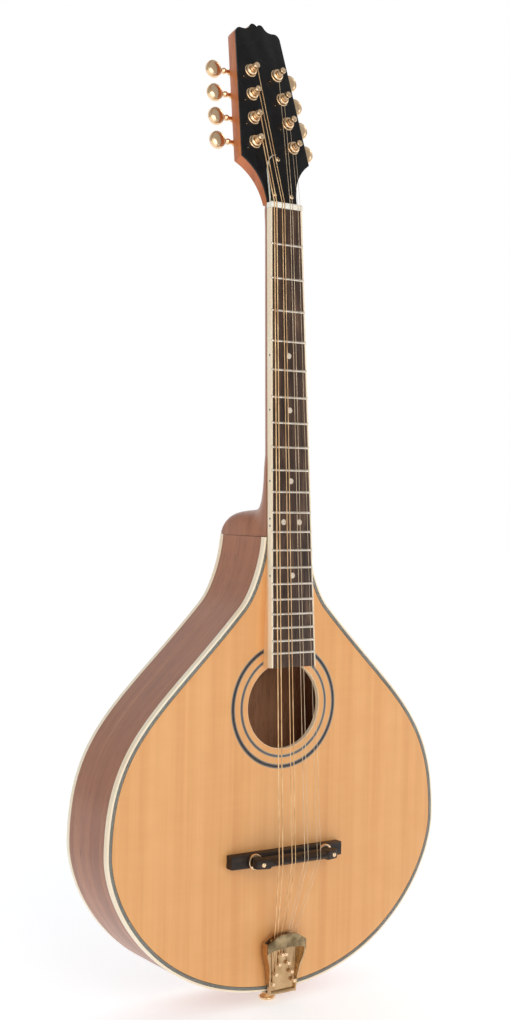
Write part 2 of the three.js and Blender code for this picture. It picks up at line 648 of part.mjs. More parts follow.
// Where each string crosses the comb, the saddle and the nut, and how thick it is.
function stringPlans() {
  return tunerPlaces().map(({ number, side, i, x, z }) => {
    const course = i < 2 ? 0 : 1;
    const lean = i % 2 === 0 ? 1 : -1;
    const across = (centres, half) => side * (centres[course] + lean * half);
    const radius = (side < 0 ? STRING.bass : STRING.treble)[course] / 2;
    return {
      number,
      radius,
      combX: across(STRING.combCourse, STRING.combPair),
      saddleX: across(STRING.saddleCourse, STRING.saddlePair),
      nutX: across(STRING.nutCourse, STRING.nutPair),
      restY: TAILPIECE.rest - GAP - radius,
      postX: x - side * (POST.waist + radius + 0.25),
      postZ: z,
      pegZ: TAILPIECE.topZ - TAILPIECE.pegDrop - TAILPIECE.pegPitch * (3 - i),
    };
  });
}

function addStrings() {
  for (const plan of stringPlans()) {
    const head = (x, y, z) => new THREE.Vector3(x, y, z).applyMatrix4(headToBody);
    const neck = (x, y, z) => new THREE.Vector3(x, y, z).applyMatrix4(neckToBody);
    const waistY = HEAD.face - (POST.waistFrom + POST.waistTo) / 2;
    const route = [
      new THREE.Vector3(plan.combX, TAILPIECE.loopY, plan.pegZ + 1.8),
      new THREE.Vector3(plan.combX, plan.restY + 0.3, TAILPIECE.restLow - 2),
      new THREE.Vector3(plan.combX, plan.restY, TAILPIECE.restHigh),
      new THREE.Vector3(plan.saddleX, STRING_Y, BRIDGE_Z),
      neck(plan.nutX, STRING.nutY, NUT_Z + 0.5),
      neck(plan.nutX, STRING.nutY + 0.1, NUT_Z + NUT.thick),
      head(plan.postX, waistY, plan.postZ),
    ];
    const wound = plan.radius > 0.3;
    addPiece(instrument, `string_${plan.number}`, wound ? 'bronze' : 'steel', tube(route, plan.radius, 8));
  }
}

// ---------------------------------------------------------------- bridge

function addBridge() {
  const { half, tall, wide, corner } = FOOT;
  const foot = upright([
    [-half, -GAP], [-half, -tall + 1 + corner], [-half + corner, -tall + 1], [-SADDLE.half, -tall],
    [SADDLE.half, -tall], [half - corner, -tall + 1], [half, -tall + 1 + corner], [half, -GAP],
  ].reverse(), BRIDGE_Z - wide / 2, BRIDGE_Z + wide / 2);
  const studs = [-STUD.x, STUD.x].map((x) => bar('y', STUD.radius, STUD.top, -1, 12).translate(x, 0, BRIDGE_Z));
  addPiece(instrument, 'bridge_foot', 'rosewood', join(foot, ...studs)).position.x = BRIDGE_X;

  // The saddle seen from the tail: a low arch with rounded ends.
  const rounded = (x, y, from) => [0, 1, 2, 3].map((k) => {
    const angle = from + k * Math.PI / 6;
    return [x + SADDLE.round * Math.cos(angle), y + SADDLE.round * Math.sin(angle)];
  });
  const endX = SADDLE.half - SADDLE.round;
  const treble = [
    ...rounded(endX, SADDLE.low - SADDLE.round, Math.PI / 2).reverse(),
    ...rounded(endX, SADDLE.shoulderY + SADDLE.round, -Math.PI / 2).reverse(),
    [SADDLE.cap, SADDLE.high],
  ];
  const bass = treble.map(([x, y]) => [-x, y]).reverse();
  const front = upright([...treble, ...bass].reverse(), BRIDGE_Z - SADDLE.wide, BRIDGE_Z + SADDLE.wide);
  const thick = SADDLE.wide / 2;
  const crest = SADDLE.crest / 2;
  const profile = sideSlab([
    [SADDLE.low, -thick], [SADDLE.shoulderY + 3.5, -thick], [SADDLE.high, -crest],
    [SADDLE.high, crest], [SADDLE.shoulderY + 3.5, thick], [SADDLE.low, thick],
  ].reverse(), 60).translate(0, 0, BRIDGE_Z);
  const bores = [-STUD.x, STUD.x].map((x) => bar('y', THUMBWHEEL.bore, -40, 0, 12).translate(x, 0, BRIDGE_Z));
  addPiece(instrument, 'saddle', 'rosewood', cut(overlap(front, profile), ...bores)).position.x = BRIDGE_X;

  for (const [name, x] of [['thumbwheel_bass', -STUD.x], ['thumbwheel_treble', STUD.x]]) {
    const { radius, bore, low: near, high: far } = THUMBWHEEL;
    const wheel = lathe([
      [bore, far], [radius, far], [radius, near], [bore, near], [bore, far],
    ], 18);
    addPiece(instrument, name, 'gold', wheel).position.set(BRIDGE_X + x, 0, BRIDGE_Z);
  }
}

// ---------------------------------------------------------------- tailpiece and strap button

function addTail() {
  const t = TAILPIECE;
  const bottom = TAIL_Z - GAP - t.tabThick;
  const behind = -GAP - t.stand;
  const front = behind - t.plate;
  const roof = [[t.topHalf, t.cornerZ], [t.roofHalf, t.topZ], [-t.roofHalf, t.topZ], [-t.topHalf, t.cornerZ]];
  const flank = [[t.tailHalf, bottom], ...t.flare];
  const plate = slab(shapeOf([...mirrored(flank).reverse(), ...flank, ...roof]), front, behind);
  const tab = block(-t.tailHalf, t.tailHalf, front, t.tabDepth, bottom, TAIL_Z - GAP);
  const sideWalls = [-1, 1].map((side) => {
    const outer = [...flank, [t.topHalf, t.cornerZ]];
    const inner = outer.map(([x, z]) => [x - t.wall, z]).reverse();
    const outline = [...outer, ...inner].map(([x, z]) => [side * x, z]);
    const upper = slab(shapeOf(side > 0 ? outline : outline.reverse()), -20, front + 0.5);
    const slope = sideSlab([
      [front + 0.5, bottom], [front + 0.5, t.cornerZ], [t.wallTop, t.cornerZ], [t.wallTop, t.cornerZ - 11],
      [t.wallTail, bottom + 6], [t.wallTail, bottom],
    ], 40);
    return overlap(upper, slope);
  });
  // The bar that the strings pass under, with an arched lower edge, and the rest they lie on.
  const topBar = slab(shapeOf([
    [-t.topHalf, t.barEnd], [-t.roofHalf, t.barLow], [t.roofHalf, t.barLow], [t.topHalf, t.barEnd], ...roof,
  ]), t.barFront, t.barBack);
  const rest = block(-t.restHalf, t.restHalf, t.rest, front + 0.5, t.restLow, t.restHigh);
  const pegs = stringPlans().map(({ combX, pegZ }) => bar('y', 1.1, t.pegTop, front + 0.5, 8).translate(combX, 0, pegZ));
  const screwHole = bar('z', BUTTON.shank + GAP, 0, TAIL_Z + 5, 16).translate(0, BUTTON.inset, 0);
  const cast = join(plate, tab, ...sideWalls, topBar, rest, ...pegs);
  addPiece(instrument, 'tailpiece', 'gold', cut(cast, screwHole));

  const { shank, collar, waist, flange, flat, reach } = BUTTON;
  const top = bottom - GAP;
  const button = lathe([
    [0, 0], [flat, 0], [flange, 2.0], [waist, 4.8], [waist, top - 2.4],
    [collar, top - 1.0], [collar, top], [shank, top], [shank, reach], [0, reach],
  ], 16).rotateX(Math.PI / 2);
  addPiece(instrument, 'strap_button', 'gold', button).position.set(0, BUTTON.inset, 0);
}

addBody();
addBraces();
addNeck();
addFretboard();
addTuners();
addStrings();
addBridge();
addTail();

export default instrument;
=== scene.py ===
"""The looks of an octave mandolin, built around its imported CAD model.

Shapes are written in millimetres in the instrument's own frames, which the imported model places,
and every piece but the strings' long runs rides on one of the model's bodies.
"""

import json
import math

import bmesh
import bpy
from mathutils import Matrix, Vector


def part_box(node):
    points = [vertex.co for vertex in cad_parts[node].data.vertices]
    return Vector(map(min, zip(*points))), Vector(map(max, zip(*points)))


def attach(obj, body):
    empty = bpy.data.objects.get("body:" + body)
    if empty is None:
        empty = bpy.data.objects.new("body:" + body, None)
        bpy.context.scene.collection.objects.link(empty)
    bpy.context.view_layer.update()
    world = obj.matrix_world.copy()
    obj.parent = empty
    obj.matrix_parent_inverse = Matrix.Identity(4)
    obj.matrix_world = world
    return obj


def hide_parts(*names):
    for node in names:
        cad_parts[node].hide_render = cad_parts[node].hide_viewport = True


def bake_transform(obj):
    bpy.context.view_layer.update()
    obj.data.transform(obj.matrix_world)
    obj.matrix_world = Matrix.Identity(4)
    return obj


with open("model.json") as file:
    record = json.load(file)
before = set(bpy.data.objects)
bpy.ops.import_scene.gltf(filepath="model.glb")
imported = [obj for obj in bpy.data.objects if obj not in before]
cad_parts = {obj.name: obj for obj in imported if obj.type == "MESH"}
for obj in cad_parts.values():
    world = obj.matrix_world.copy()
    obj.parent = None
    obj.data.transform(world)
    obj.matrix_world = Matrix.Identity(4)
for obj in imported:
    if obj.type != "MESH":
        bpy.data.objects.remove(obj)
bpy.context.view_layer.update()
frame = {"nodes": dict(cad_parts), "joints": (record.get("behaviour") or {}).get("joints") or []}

joints = {joint["name"]: joint for joint in frame["joints"]}

MM = 0.001
TURN = 2 * math.pi

# ---------------------------------------------------------------- frames and driving sizes, in mm

board_low, board_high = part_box("soundboard")
trim_low, trim_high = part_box("top_binding")
_, back_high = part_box("back_plate")
FRONT = board_low.y / MM                 # the soundboard's front, in the model's frame
TAIL_Z = trim_low.z / MM
BODY_TOP = trim_high.z / MM
JOINT_Z = BODY_TOP + 5                   # where the twelfth fret lies over the body
HALF_WIDE = trim_high.x / MM
DEPTH = (back_high.y - board_low.y) / MM
PLATE = (board_high.y - board_low.y) / MM

SCALE = 584.2
NUT_Z = SCALE / 2                        # the neck meets the body at the twelfth fret
FRETS = 20
RISE = 7.0                               # fretboard face over the soundboard, at the neck joint
BOARD = {"thick": 6.5, "nut_half": 17.2, "flare": 0.0166, "past": 121, "edge": 1.6}
NECK_TILT = math.radians(3.5)
post_axis = joints["string_post_1_turn"]["axis"]
HEAD_TILT = math.atan2(-post_axis[2], post_axis[1]) - NECK_TILT

BODY_FRAME = Matrix.Translation((0, board_low.y, 0)) @ Matrix.Scale(MM, 4)
NECK_FRAME = BODY_FRAME @ Matrix.Translation((0, -RISE, JOINT_Z)) @ Matrix.Rotation(-NECK_TILT, 4, "X")
HEAD_FRAME = NECK_FRAME @ Matrix.Translation((0, 0, NUT_Z)) @ Matrix.Rotation(-HEAD_TILT, 4, "X")

BINDING = {"wide": 2.0, "tall": 5.5}
PURFLING = [("black", 0.55), ("white", 0.25)] * 3 + [("black", 0.55)]
PURFLED = BINDING["wide"] + sum(width for _, width in PURFLING)
SIDE = 2.3
HOLE = {"radius": 39.0, "z": JOINT_Z - 157}
HEAD = {"face": 4.7, "overlay": 2.0, "thick": 14.0, "start": 6.6, "root_half": 16.3, "root_thick": 8.2,
        "shoulder": (37.2, 50.2), "tip": (24.8, 176.6)}
NUT = {"thick": 5.1, "proud": 1.7, "gap": 0.15}
LUG = {"out": 8.6, "below": 7.0, "radius": 2.7}     # the tuner's mounting screw, beside its gearbox
TUNER = {"collar_tall": 4.0, "knob_out": 28.0, "worm_back": 18.6, "worm_side": 6.5}
POST = {"radius": 2.9, "waist": 2.3, "waist_from": 5.6, "waist_to": 9.0, "top": 12.0}
BRIDGE_Z = JOINT_Z - SCALE / 2 + 0.5
STRING_Y = -29.5
LOOP_Y = -6.9                            # the string loops' height on their pegs
stud_low, stud_high = [joints[f"thumbwheel_{side}_turn"]["pos_m"][0] / MM for side in ("bass", "treble")]
BRIDGE_X = (stud_low + stud_high) / 2
STUD_X = (stud_high - stud_low) / 2


# ---------------------------------------------------------------- materials

def srgb(red, green, blue):
    """A colour given as a screen shows it, from 0 to 255, as the shader takes it."""
    def linear(value):
        value /= 255
        return value / 12.92 if value <= 0.04045 else ((value + 0.055) / 1.055) ** 2.4
    return (linear(red), linear(green), linear(blue), 1.0)


class Recipe:
    """A material being made: its shader, and short ways to add nodes."""

    def __init__(self, name, **values):
        self.material = bpy.data.materials.new(name)
        self.material.use_nodes = True
        self.tree = self.material.node_tree
        self.shader = self.tree.nodes["Principled BSDF"]
        for key, value in values.items():
            self.put(key.replace("_", " ").title().replace("Ior", "IOR"), value)

    def put(self, socket, value):
        self.feed(self.shader.inputs[socket], value)

    def feed(self, socket, value):
        if isinstance(value, bpy.types.NodeSocket):
            self.tree.links.new(value, socket)
        else:
            socket.default_value = value

    def node(self, kind, inputs=None, output=0, **settings):
        made = self.tree.nodes.new("ShaderNode" + kind)
        for key, value in settings.items():
            setattr(made, key, value)
        for key, value in (inputs or {}).items():
            self.feed(made.inputs[key], value)
        return made.outputs[output]

    def place(self, scale=(1, 1, 1), attribute=None):
        """Points of the surface, in metres, stretched by scale."""
        if attribute:
            points = self.node("Attribute", output=1, attribute_name=attribute)
        else:
            points = self.node("TexCoord", output=3)
        return self.node("Mapping", {"Vector": points, "Scale": scale})

    def scaled(self, vector, *scale):
        """The vector stretched by three scales, or by one in every direction."""
        return self.node("Mapping", {"Vector": vector, "Scale": scale if len(scale) == 3 else scale * 3})

    def noise(self, vector, detail=3.0, roughness=0.5, distortion=0.0):
        return self.node("TexNoise", {
            "Vector": vector, "Scale": 1.0, "Detail": detail,
            "Roughness": roughness, "Distortion": distortion,
        })

    def ramp(self, factor, *stops):
        socket = self.node("ValToRGB", {"Fac": factor})
        band = socket.node.color_ramp
        for spare in range(len(stops) - 2):
            band.elements.new(0.5)
        for element, (position, color) in zip(band.elements, stops):
            element.position = position
            element.color = color if len(color) == 4 else (*color, 1)
        return socket

    def level(self, factor, low, high, low_value=0.0, high_value=1.0):
        """A number that runs from low_value to high_value as factor runs from low to high."""
        return self.node("MapRange", {0: factor, 1: low, 2: high, 3: low_value, 4: high_value})

    def mix(self, factor, first, second):
        socket = self.node("Mix", output=2, data_type="RGBA")
        self.feed(socket.node.inputs[0], factor)
        self.feed(socket.node.inputs[6], first)
        self.feed(socket.node.inputs[7], second)
        return socket

    def math(self, operation, first, second=0.0):
        return self.node("Math", {0: first, 1: second}, operation=operation)

    def bump(self, height, strength, distance):
        self.put("Normal", self.node("Bump", {"Height": height, "Strength": strength, "Distance": distance}))


def spruce(name, light, middle, dark, glossy):
    """Spruce: fine growth lines along Z, matched about the centre seam, and faint cross silk."""
    recipe = Recipe(name, roughness=0.42)
    split = recipe.node("SeparateXYZ", {0: recipe.place()})
    x, y, z = split.node.outputs
    wander = recipe.noise(recipe.place((9, 9, 2.2)), detail=1)
    across = recipe.math("ADD", recipe.math("ABSOLUTE", x), recipe.math("MULTIPLY", wander, 0.006))
    line = recipe.node("CombineXYZ", {
        0: across, 1: recipe.math("MULTIPLY", y, 0.2), 2: recipe.math("MULTIPLY", z, 0.012)})
    growth = recipe.noise(recipe.scaled(line, 620), detail=3, roughness=0.6)
    bands = recipe.noise(recipe.scaled(line, 95, 95, 160), detail=3, roughness=0.55)
    silk = recipe.noise(recipe.place((26, 26, 240)), detail=2)
    tone = recipe.ramp(bands, (0.27, dark), (0.5, middle), (0.7, light))
    lines = recipe.level(growth, 0.42, 0.68)
    color = recipe.mix(recipe.math("MULTIPLY", lines, 0.13), tone, srgb(205, 140, 84))
    mottle = recipe.noise(recipe.place((38, 38, 55)), detail=4)
    color = recipe.mix(recipe.level(mottle, 0.4, 0.7, 0.0, 0.3), color, dark)
    color = recipe.mix(recipe.level(silk, 0.45, 0.75, 0.0, 0.16), color, light)
    recipe.put("Base Color", color)
    recipe.put("Roughness", recipe.level(growth, 0.3, 0.7, 0.36, 0.5))
    if glossy:
        recipe.put("Coat Weight", 0.2)
        recipe.put("Coat Roughness", 0.16)
    recipe.bump(growth, 0.18, 0.00012)
    return recipe.material


def mahogany(name, light, middle, dark, along="Z", attribute=None, coat=0.5):
    """Red-brown wood with ribbon bands and short dark pores along the grain."""
    recipe = Recipe(name, roughness=0.4)
    run = {"X": (0.05, 1, 1), "Y": (1, 0.05, 1), "Z": (1, 1, 0.05)}[along]
    vector = recipe.place(run, attribute)
    ribbon = recipe.noise(recipe.scaled(vector, 60), detail=4, distortion=0.6)
    streak = recipe.noise(recipe.scaled(vector, 420), detail=3)
    pore = recipe.noise(recipe.scaled(vector, 1500), detail=1)
    figure = recipe.noise(recipe.place((14, 14, 14), attribute), detail=2)
    tone = recipe.ramp(ribbon, (0.32, dark), (0.5, middle), (0.7, light))
    color = recipe.mix(recipe.level(streak, 0.35, 0.75, 0.0, 0.5), tone, middle)
    color = recipe.mix(recipe.level(figure, 0.4, 0.7, 0.0, 0.35), color, light)
    pores = recipe.level(pore, 0.6, 0.7)
    color = recipe.mix(recipe.math("MULTIPLY", pores, 0.55), color, [c * 0.45 for c in dark[:3]] + [1])
    recipe.put("Base Color", color)
    recipe.put("Roughness", recipe.level(streak, 0.3, 0.7, 0.33, 0.47))
    recipe.put("Coat Weight", coat)
    recipe.put("Coat Roughness", 0.14)
    recipe.bump(recipe.math("MULTIPLY", pores, -1.0), 0.25, 0.0001)
    return recipe.material


def rosewood(name, along, dark, middle, light):
    """Dark oiled rosewood with long pores and a few paler streaks."""
    recipe = Recipe(name, roughness=0.5, specular_ior_level=0.35)
    run = {"X": (0.06, 1, 1), "Z": (1, 1, 0.06)}[along]
    vector = recipe.place(run)
    streak = recipe.noise(recipe.scaled(vector, 260), detail=4, distortion=0.4)
    pore = recipe.noise(recipe.scaled(vector, 1300), detail=2)
    wear = recipe.noise(recipe.place((40, 40, 40)), detail=3)
    tone = recipe.ramp(streak, (0.3, dark), (0.5, middle), (0.72, light))
    pores = recipe.level(pore, 0.58, 0.7)
    recipe.put("Base Color", recipe.mix(recipe.math("MULTIPLY", pores, 0.7), tone, srgb(18, 13, 10)))
    recipe.put("Roughness", recipe.level(wear, 0.3, 0.7, 0.38, 0.58))
    recipe.bump(recipe.math("MULTIPLY", pores, -1.0), 0.35, 0.00012)
    return recipe.material


def plastic(name, light, dark, roughness):
    """Celluloid or bone: a faint cloudy tone, a soft polish and tiny scuffs."""
    recipe = Recipe(name, roughness=roughness, subsurface_weight=0.08, subsurface_scale=0.002)
    cloud = recipe.noise(recipe.place((30, 30, 12)), detail=3)
    scuff = recipe.noise(recipe.place((900, 900, 60)), detail=2)
    tone = recipe.mix(recipe.level(cloud, 0.35, 0.7), light, dark)
    recipe.put("Base Color", recipe.mix(recipe.level(scuff, 0.5, 0.8, 0.0, 0.3), tone, dark))
    recipe.put("Roughness", recipe.level(scuff, 0.3, 0.75, roughness * 0.8, roughness * 1.35))
    recipe.bump(scuff, 0.06, 0.00005)
    return recipe.material


def metal(name, light, dark, roughness, brushed=(1, 1, 1)):
    """Polished plating with small changes of tone, hairline scratches and a slightly worn sheen."""
    recipe = Recipe(name, metallic=1.0, roughness=roughness)
    cloud = recipe.noise(recipe.place((120, 120, 120)), detail=3)
    hairline = recipe.noise(recipe.place([2600 * b for b in brushed]), detail=2)
    recipe.put("Base Color", recipe.mix(recipe.level(cloud, 0.35, 0.7), light, dark))
    worn = recipe.math("ADD", recipe.math("MULTIPLY", hairline, 0.5), recipe.math("MULTIPLY", cloud, 0.5))
    recipe.put("Roughness", recipe.level(worn, 0.35, 0.65, roughness * 0.7, roughness * 1.5))
    recipe.bump(hairline, 0.05, 0.00003)
    return recipe.material


def gloss_black(name):
    """Black lacquer with polishing swirls and a trace of dust in its sheen."""
    recipe = Recipe(name, roughness=0.2, specular_ior_level=0.28)
    swirl = recipe.noise(recipe.place((55, 55, 55)), detail=5, distortion=2.0)
    dust = recipe.noise(recipe.place((900, 900, 900)), detail=2)
    tone = recipe.mix(recipe.level(swirl, 0.4, 0.7), srgb(13, 12, 12), srgb(22, 20, 20))
    recipe.put("Base Color", recipe.mix(recipe.level(dust, 0.66, 0.8, 0.0, 0.35), tone, srgb(60, 54, 50)))
    recipe.put("Roughness", recipe.level(swirl, 0.3, 0.7, 0.16, 0.3))
    recipe.bump(swirl, 0.03, 0.0002)
    return recipe.material


def pearl(name):
    """Mother of pearl: soft clouds of pink, cream and blue-grey under a polish."""
    recipe = Recipe(name, roughness=0.18, coat_weight=0.5, coat_roughness=0.08)
    cloud = recipe.noise(recipe.place((420, 420, 420)), detail=3, distortion=1.5)
    recipe.put("Base Color", recipe.ramp(
        cloud, (0.3, srgb(206, 186, 164)), (0.5, srgb(230, 213, 190)), (0.7, srgb(208, 202, 188))))
    recipe.put("Roughness", recipe.level(cloud, 0.3, 0.7, 0.14, 0.26))
    return recipe.material


def winding(name, light, dark, pitch, roughness, ridged):
    """Round wire wound on a core: ridges along the string and tarnish between them."""
    recipe = Recipe(name, metallic=1.0, roughness=roughness)
    run = recipe.node("SeparateXYZ", {0: recipe.node("Attribute", output=1, attribute_name="grain")})
    phase = recipe.math("MULTIPLY", run, TURN / (pitch * MM))
    ridge = recipe.level(recipe.math("SINE", phase), -1.0, 1.0)
    cloud = recipe.noise(recipe.place((200, 200, 60)), detail=2)
    tone = recipe.mix(recipe.level(cloud, 0.35, 0.7), light, dark)
    recipe.put("Base Color", recipe.mix(recipe.level(ridge, 0.0, 0.4, ridged, 0.0), tone, dark))
    recipe.put("Roughness", recipe.level(cloud, 0.3, 0.7, roughness * 0.8, roughness * 1.4))
    recipe.bump(ridge, 0.1 + 0.4 * ridged, 0.00006)
    return recipe.material


SPRUCE = spruce("spruce_lacquered", srgb(240, 178, 113), srgb(235, 171, 105), srgb(227, 159, 93), True)
# Bare spruce for the soundhole's edge, painted lighter than the wood: a painted highlight on the lit edge.
HOLE_EDGE_PAINTED_LIGHT = spruce("spruce_edge_painted_light", srgb(255, 238, 206), srgb(255, 228, 190), srgb(246, 212, 170), False)
# The riser's spruce is a lighter copy of the top's: painted light, lifting the shade that falls on it under
# the fretboard.
RISER_PAINTED_LIGHT = spruce("spruce_riser_painted_light", srgb(252, 204, 146), srgb(248, 196, 136), srgb(238, 182, 120), True)
RAW_SPRUCE = spruce("spruce_bare", srgb(246, 212, 168), srgb(238, 198, 150), srgb(224, 180, 130), False)
MAHOGANY_TONES = (srgb(184, 122, 86), srgb(163, 102, 69), srgb(138, 80, 52))
MAHOGANY = mahogany("mahogany_neck", *MAHOGANY_TONES, coat=0.3)
# A more orange copy of the neck's mahogany for the headstock: painted reflected light, the glow of the gold
# tuners on its sides.
MAHOGANY_HEAD_PAINTED_GLOW = mahogany("mahogany_head_painted_reflection", srgb(212, 120, 58), srgb(190, 100, 44), srgb(158, 80, 34), coat=0.3)
MAHOGANY_SIDE = mahogany("mahogany_bent", *MAHOGANY_TONES, along="X", attribute="grain", coat=0.2)
MAHOGANY_RAW = mahogany("mahogany_bare", srgb(206, 152, 114), srgb(188, 132, 95),
                        srgb(162, 108, 76), coat=0.0)
ROSEWOOD = rosewood("rosewood_board", "Z", srgb(42, 27, 19), srgb(72, 51, 39), srgb(108, 81, 62))
ROSEWOOD_BRIDGE = rosewood("rosewood_bridge", "X", srgb(22, 15, 10), srgb(42, 30, 22), srgb(72, 54, 40))
CREAM = plastic("cream_celluloid", srgb(255, 240, 214), srgb(250, 228, 196), 0.3)
BLACK_LINE = plastic("black_inlay", srgb(30, 28, 27), srgb(18, 17, 16), 0.4)
WHITE_LINE = plastic("white_inlay", srgb(236, 231, 218), srgb(216, 208, 190), 0.4)
SLATE_LINE = plastic("slate_inlay", srgb(104, 102, 104), srgb(86, 84, 87), 0.4)
PALE_LINE = plastic("pale_inlay", srgb(196, 176, 148), srgb(176, 156, 128), 0.4)
BONE = plastic("bone", srgb(250, 246, 236), srgb(238, 230, 212), 0.36)
GOLD = metal("gold_polished", srgb(250, 219, 180), srgb(236, 199, 156), 0.18)
# A darker, patchy gold for the tailpiece's bar: painted reflection of the dark things it mirrors.
GOLD_PAINTED_REFLECTION = metal("gold_mirror_painted_reflection", srgb(172, 150, 114), srgb(92, 78, 56), 0.05)
GOLD_SATIN = metal("gold_cast", srgb(208, 176, 134), srgb(186, 152, 110), 0.26)
STEEL = metal("fret_metal", srgb(236, 226, 212), srgb(214, 202, 186), 0.24, (0.05, 1, 1))
TRUSS = metal("truss_bar", srgb(150, 148, 145), srgb(120, 118, 116), 0.4, (1, 1, 0.05))
BLACK = gloss_black("black_lacquer")
PEARL = pearl("pearl_dot")
WOUND = winding("bronze_winding", srgb(250, 214, 164), srgb(206, 162, 114), 0.42, 0.34, 0.4)
PLAIN = winding("plain_wire", srgb(238, 214, 182), srgb(210, 182, 148), 1.6, 0.3, 0.0)


# ---------------------------------------------------------------- making pieces

def build(name, points, faces, place, materials, body="instrument", slot=None, stands_for=(),
          smooth=38, bevel=0.0, segments=2, marks=None, grain=None):
    """A piece from points in millimetres in the frame `place`, riding on a body."""
    mesh = bpy.data.meshes.new(name)
    mesh.from_pydata([place @ Vector(point) for point in points], [], faces)
    if grain:
        layer = mesh.attributes.new("grain", "FLOAT_VECTOR", "POINT")
        layer.data.foreach_set("vector", [value * MM for trio in grain for value in trio])
    if marks:
        mesh.polygons.foreach_set("material_index", marks)
    shape = bmesh.new()
    shape.from_mesh(mesh)
    bmesh.ops.recalc_face_normals(shape, faces=shape.faces)
    if bevel:
        sharp = [e for e in shape.edges
                 if len(e.link_faces) == 2 and e.calc_face_angle() > math.radians(smooth)]
        bmesh.ops.bevel(shape, geom=sharp, offset=bevel * MM, segments=segments, affect="EDGES",
                        profile=0.6, clamp_overlap=True)
    shape.to_mesh(mesh)
    shape.free()
    mesh.polygons.foreach_set("use_smooth", [True] * len(mesh.polygons))
    mesh.set_sharp_from_angle(angle=math.radians(smooth))
    piece = bpy.data.objects.new(name, mesh)
    bpy.context.scene.collection.objects.link(piece)
    for material in materials if isinstance(materials, (list, tuple)) else [materials]:
        mesh.materials.append(material)
    if body:
        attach(piece, body)
    if stands_for:
        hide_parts(*stands_for)
    return piece


def prism(outline, front, back):
    """Points and faces of a flat outline in X and Z, thickened from front to back in Y."""
    count = len(outline)
    points = [(x, front, z) for x, z in outline] + [(x, back, z) for x, z in outline]
    faces = [list(range(count)), list(range(2 * count - 1, count - 1, -1))]
    faces += [[i, (i + 1) % count, (i + 1) % count + count, i + count] for i in range(count)]
    return points, faces


def skin(rings, caps=True):
    """Points and faces of a skin over closed rings of points."""
    count = len(rings[0])
    points = [point for ring in rings for point in ring]
    faces = []
    for r in range(len(rings) - 1):
        for i in range(count):
            a, b = r * count + i, r * count + (i + 1) % count
            faces.append([a, b, b + count, a + count])
    if caps:
        faces.append(list(range(count - 1, -1, -1)))
        faces.append(list(range((len(rings) - 1) * count, len(rings) * count)))
    return points, faces


def ring_skin(rings):
    """Points and faces of a skin whose last ring is its first one again."""
    points, faces = skin(rings, caps=False)
    last = len(points) - len(rings[0])
    return points[:last], [[i - last if i >= last else i for i in face] for face in faces]


def lathe(profile, centre=(0, 0, 0), axis="y", sides=40, stretch=(1, 1)):
    """Points and faces turned from (radius, station) pairs about an axis; a closed profile makes a ring."""
    ring_shape = profile[0] == profile[-1]
    stations = profile[:-1] if ring_shape else profile
    rings = []
    for radius, station in stations:
        ring = []
        for k in range(sides):
            angle = TURN * k / sides
            u, v = radius * stretch[0] * math.cos(angle), radius * stretch[1] * math.sin(angle)
            spot = {"x": (station, u, v), "y": (u, station, v), "z": (u, v, station)}[axis]
            ring.append(tuple(s + c for s, c in zip(spot, centre)))
        rings.append(ring)
    return ring_skin(rings + rings[:1]) if ring_shape else skin(rings)


def merged(*shapes):
    """Several shapes' points and faces as one."""
    points, faces = [], []
    for more_points, more_faces in shapes:
        start = len(points)
        points += list(more_points)
        faces += [[i + start for i in face] for face in more_faces]
    return points, faces


def tube(route, radius, sides=10):
    """Points, faces and distances along the run of a round wire through points."""
    route = [Vector(point) for point in route]
    rings, run, total = [], [], 0.0
    side = None
    for i, point in enumerate(route):
        ahead = (route[min(i + 1, len(route) - 1)] - route[max(i - 1, 0)]).normalized()
        if side is None:
            side = ahead.cross(Vector((0.31, 0.2, 0.93))).normalized()
        side = (side - ahead * side.dot(ahead)).normalized()
        other = ahead.cross(side)
        total += (point - route[i - 1]).length if i else 0.0
        angles = [TURN * k / sides for k in range(sides)]
        rings.append([tuple(point + radius * (side * math.cos(a) + other * math.sin(a))) for a in angles])
        run += [(total, 0.0, 0.0)] * sides
    points, faces = skin(rings)
    return points, faces, run


# ---------------------------------------------------------------- body outline

def bezier(a, b, c, d, steps):
    """Stations along a cubic curve: where each is, and which way it runs."""
    a, b, c, d = map(Vector, (a, b, c, d))
    made = []
    for k in range(steps):
        t = k / steps
        point = a * (1 - t) ** 3 + 3 * b * t * (1 - t) ** 2 + 3 * c * t * t * (1 - t) + d * t ** 3
        run = 3 * (b - a) * (1 - t) ** 2 + 6 * (c - b) * t * (1 - t) + 3 * (d - c) * t * t
        if run.length < 1e-6:
            run = c - a
        made.append((point, run.normalized()))
    return made


def half_outline():
    """The treble half of the body's outline from the tail to the neck joint."""
    widest = (HALF_WIDE, JOINT_Z - 273)
    shoulder = (47.5, JOINT_Z - 68)
    joint = (24.5, BODY_TOP)
    stations = bezier((0, TAIL_Z), (122, TAIL_Z), (widest[0], widest[1] - 52), widest, 44)
    stations += bezier(widest, (widest[0], widest[1] + 98),
                       (shoulder[0] + 81, shoulder[1] - 87), shoulder, 40)
    stations += bezier(shoulder, (shoulder[0] - 14.5, shoulder[1] + 15.5),
                       (joint[0], joint[1] - 13), joint, 16)
    return stations + [(Vector(joint), Vector((0, 1)))]


HALF = half_outline()
LOOP = [(Vector((-p.x, p.y)), Vector((t.x, -t.y))) for p, t in reversed(HALF[1:])] + HALF


def inset_point(station, inset):
    point, run = station
    return (point.x - run.y * inset, point.y + run.x * inset)


def inset_outline(inset):
    return [inset_point(station, inset) for station in LOOP]


def band(stations, section, name, materials, **options):
    """A strip swept along the body's outline: section gives (inset, y) corners."""
    rings, grain, run, before = [], [], 0.0, stations[0][0]
    for station in stations:
        run += (station[0] - before).length
        before = station[0]
        rings.append([(x, y, z) for inset, y in section for x, z in [inset_point(station, inset)]])
        grain += [(run, y, inset) for inset, y in section]
    points, faces = skin(rings)
    return build(name, points, faces, BODY_FRAME, materials, grain=grain, **options)


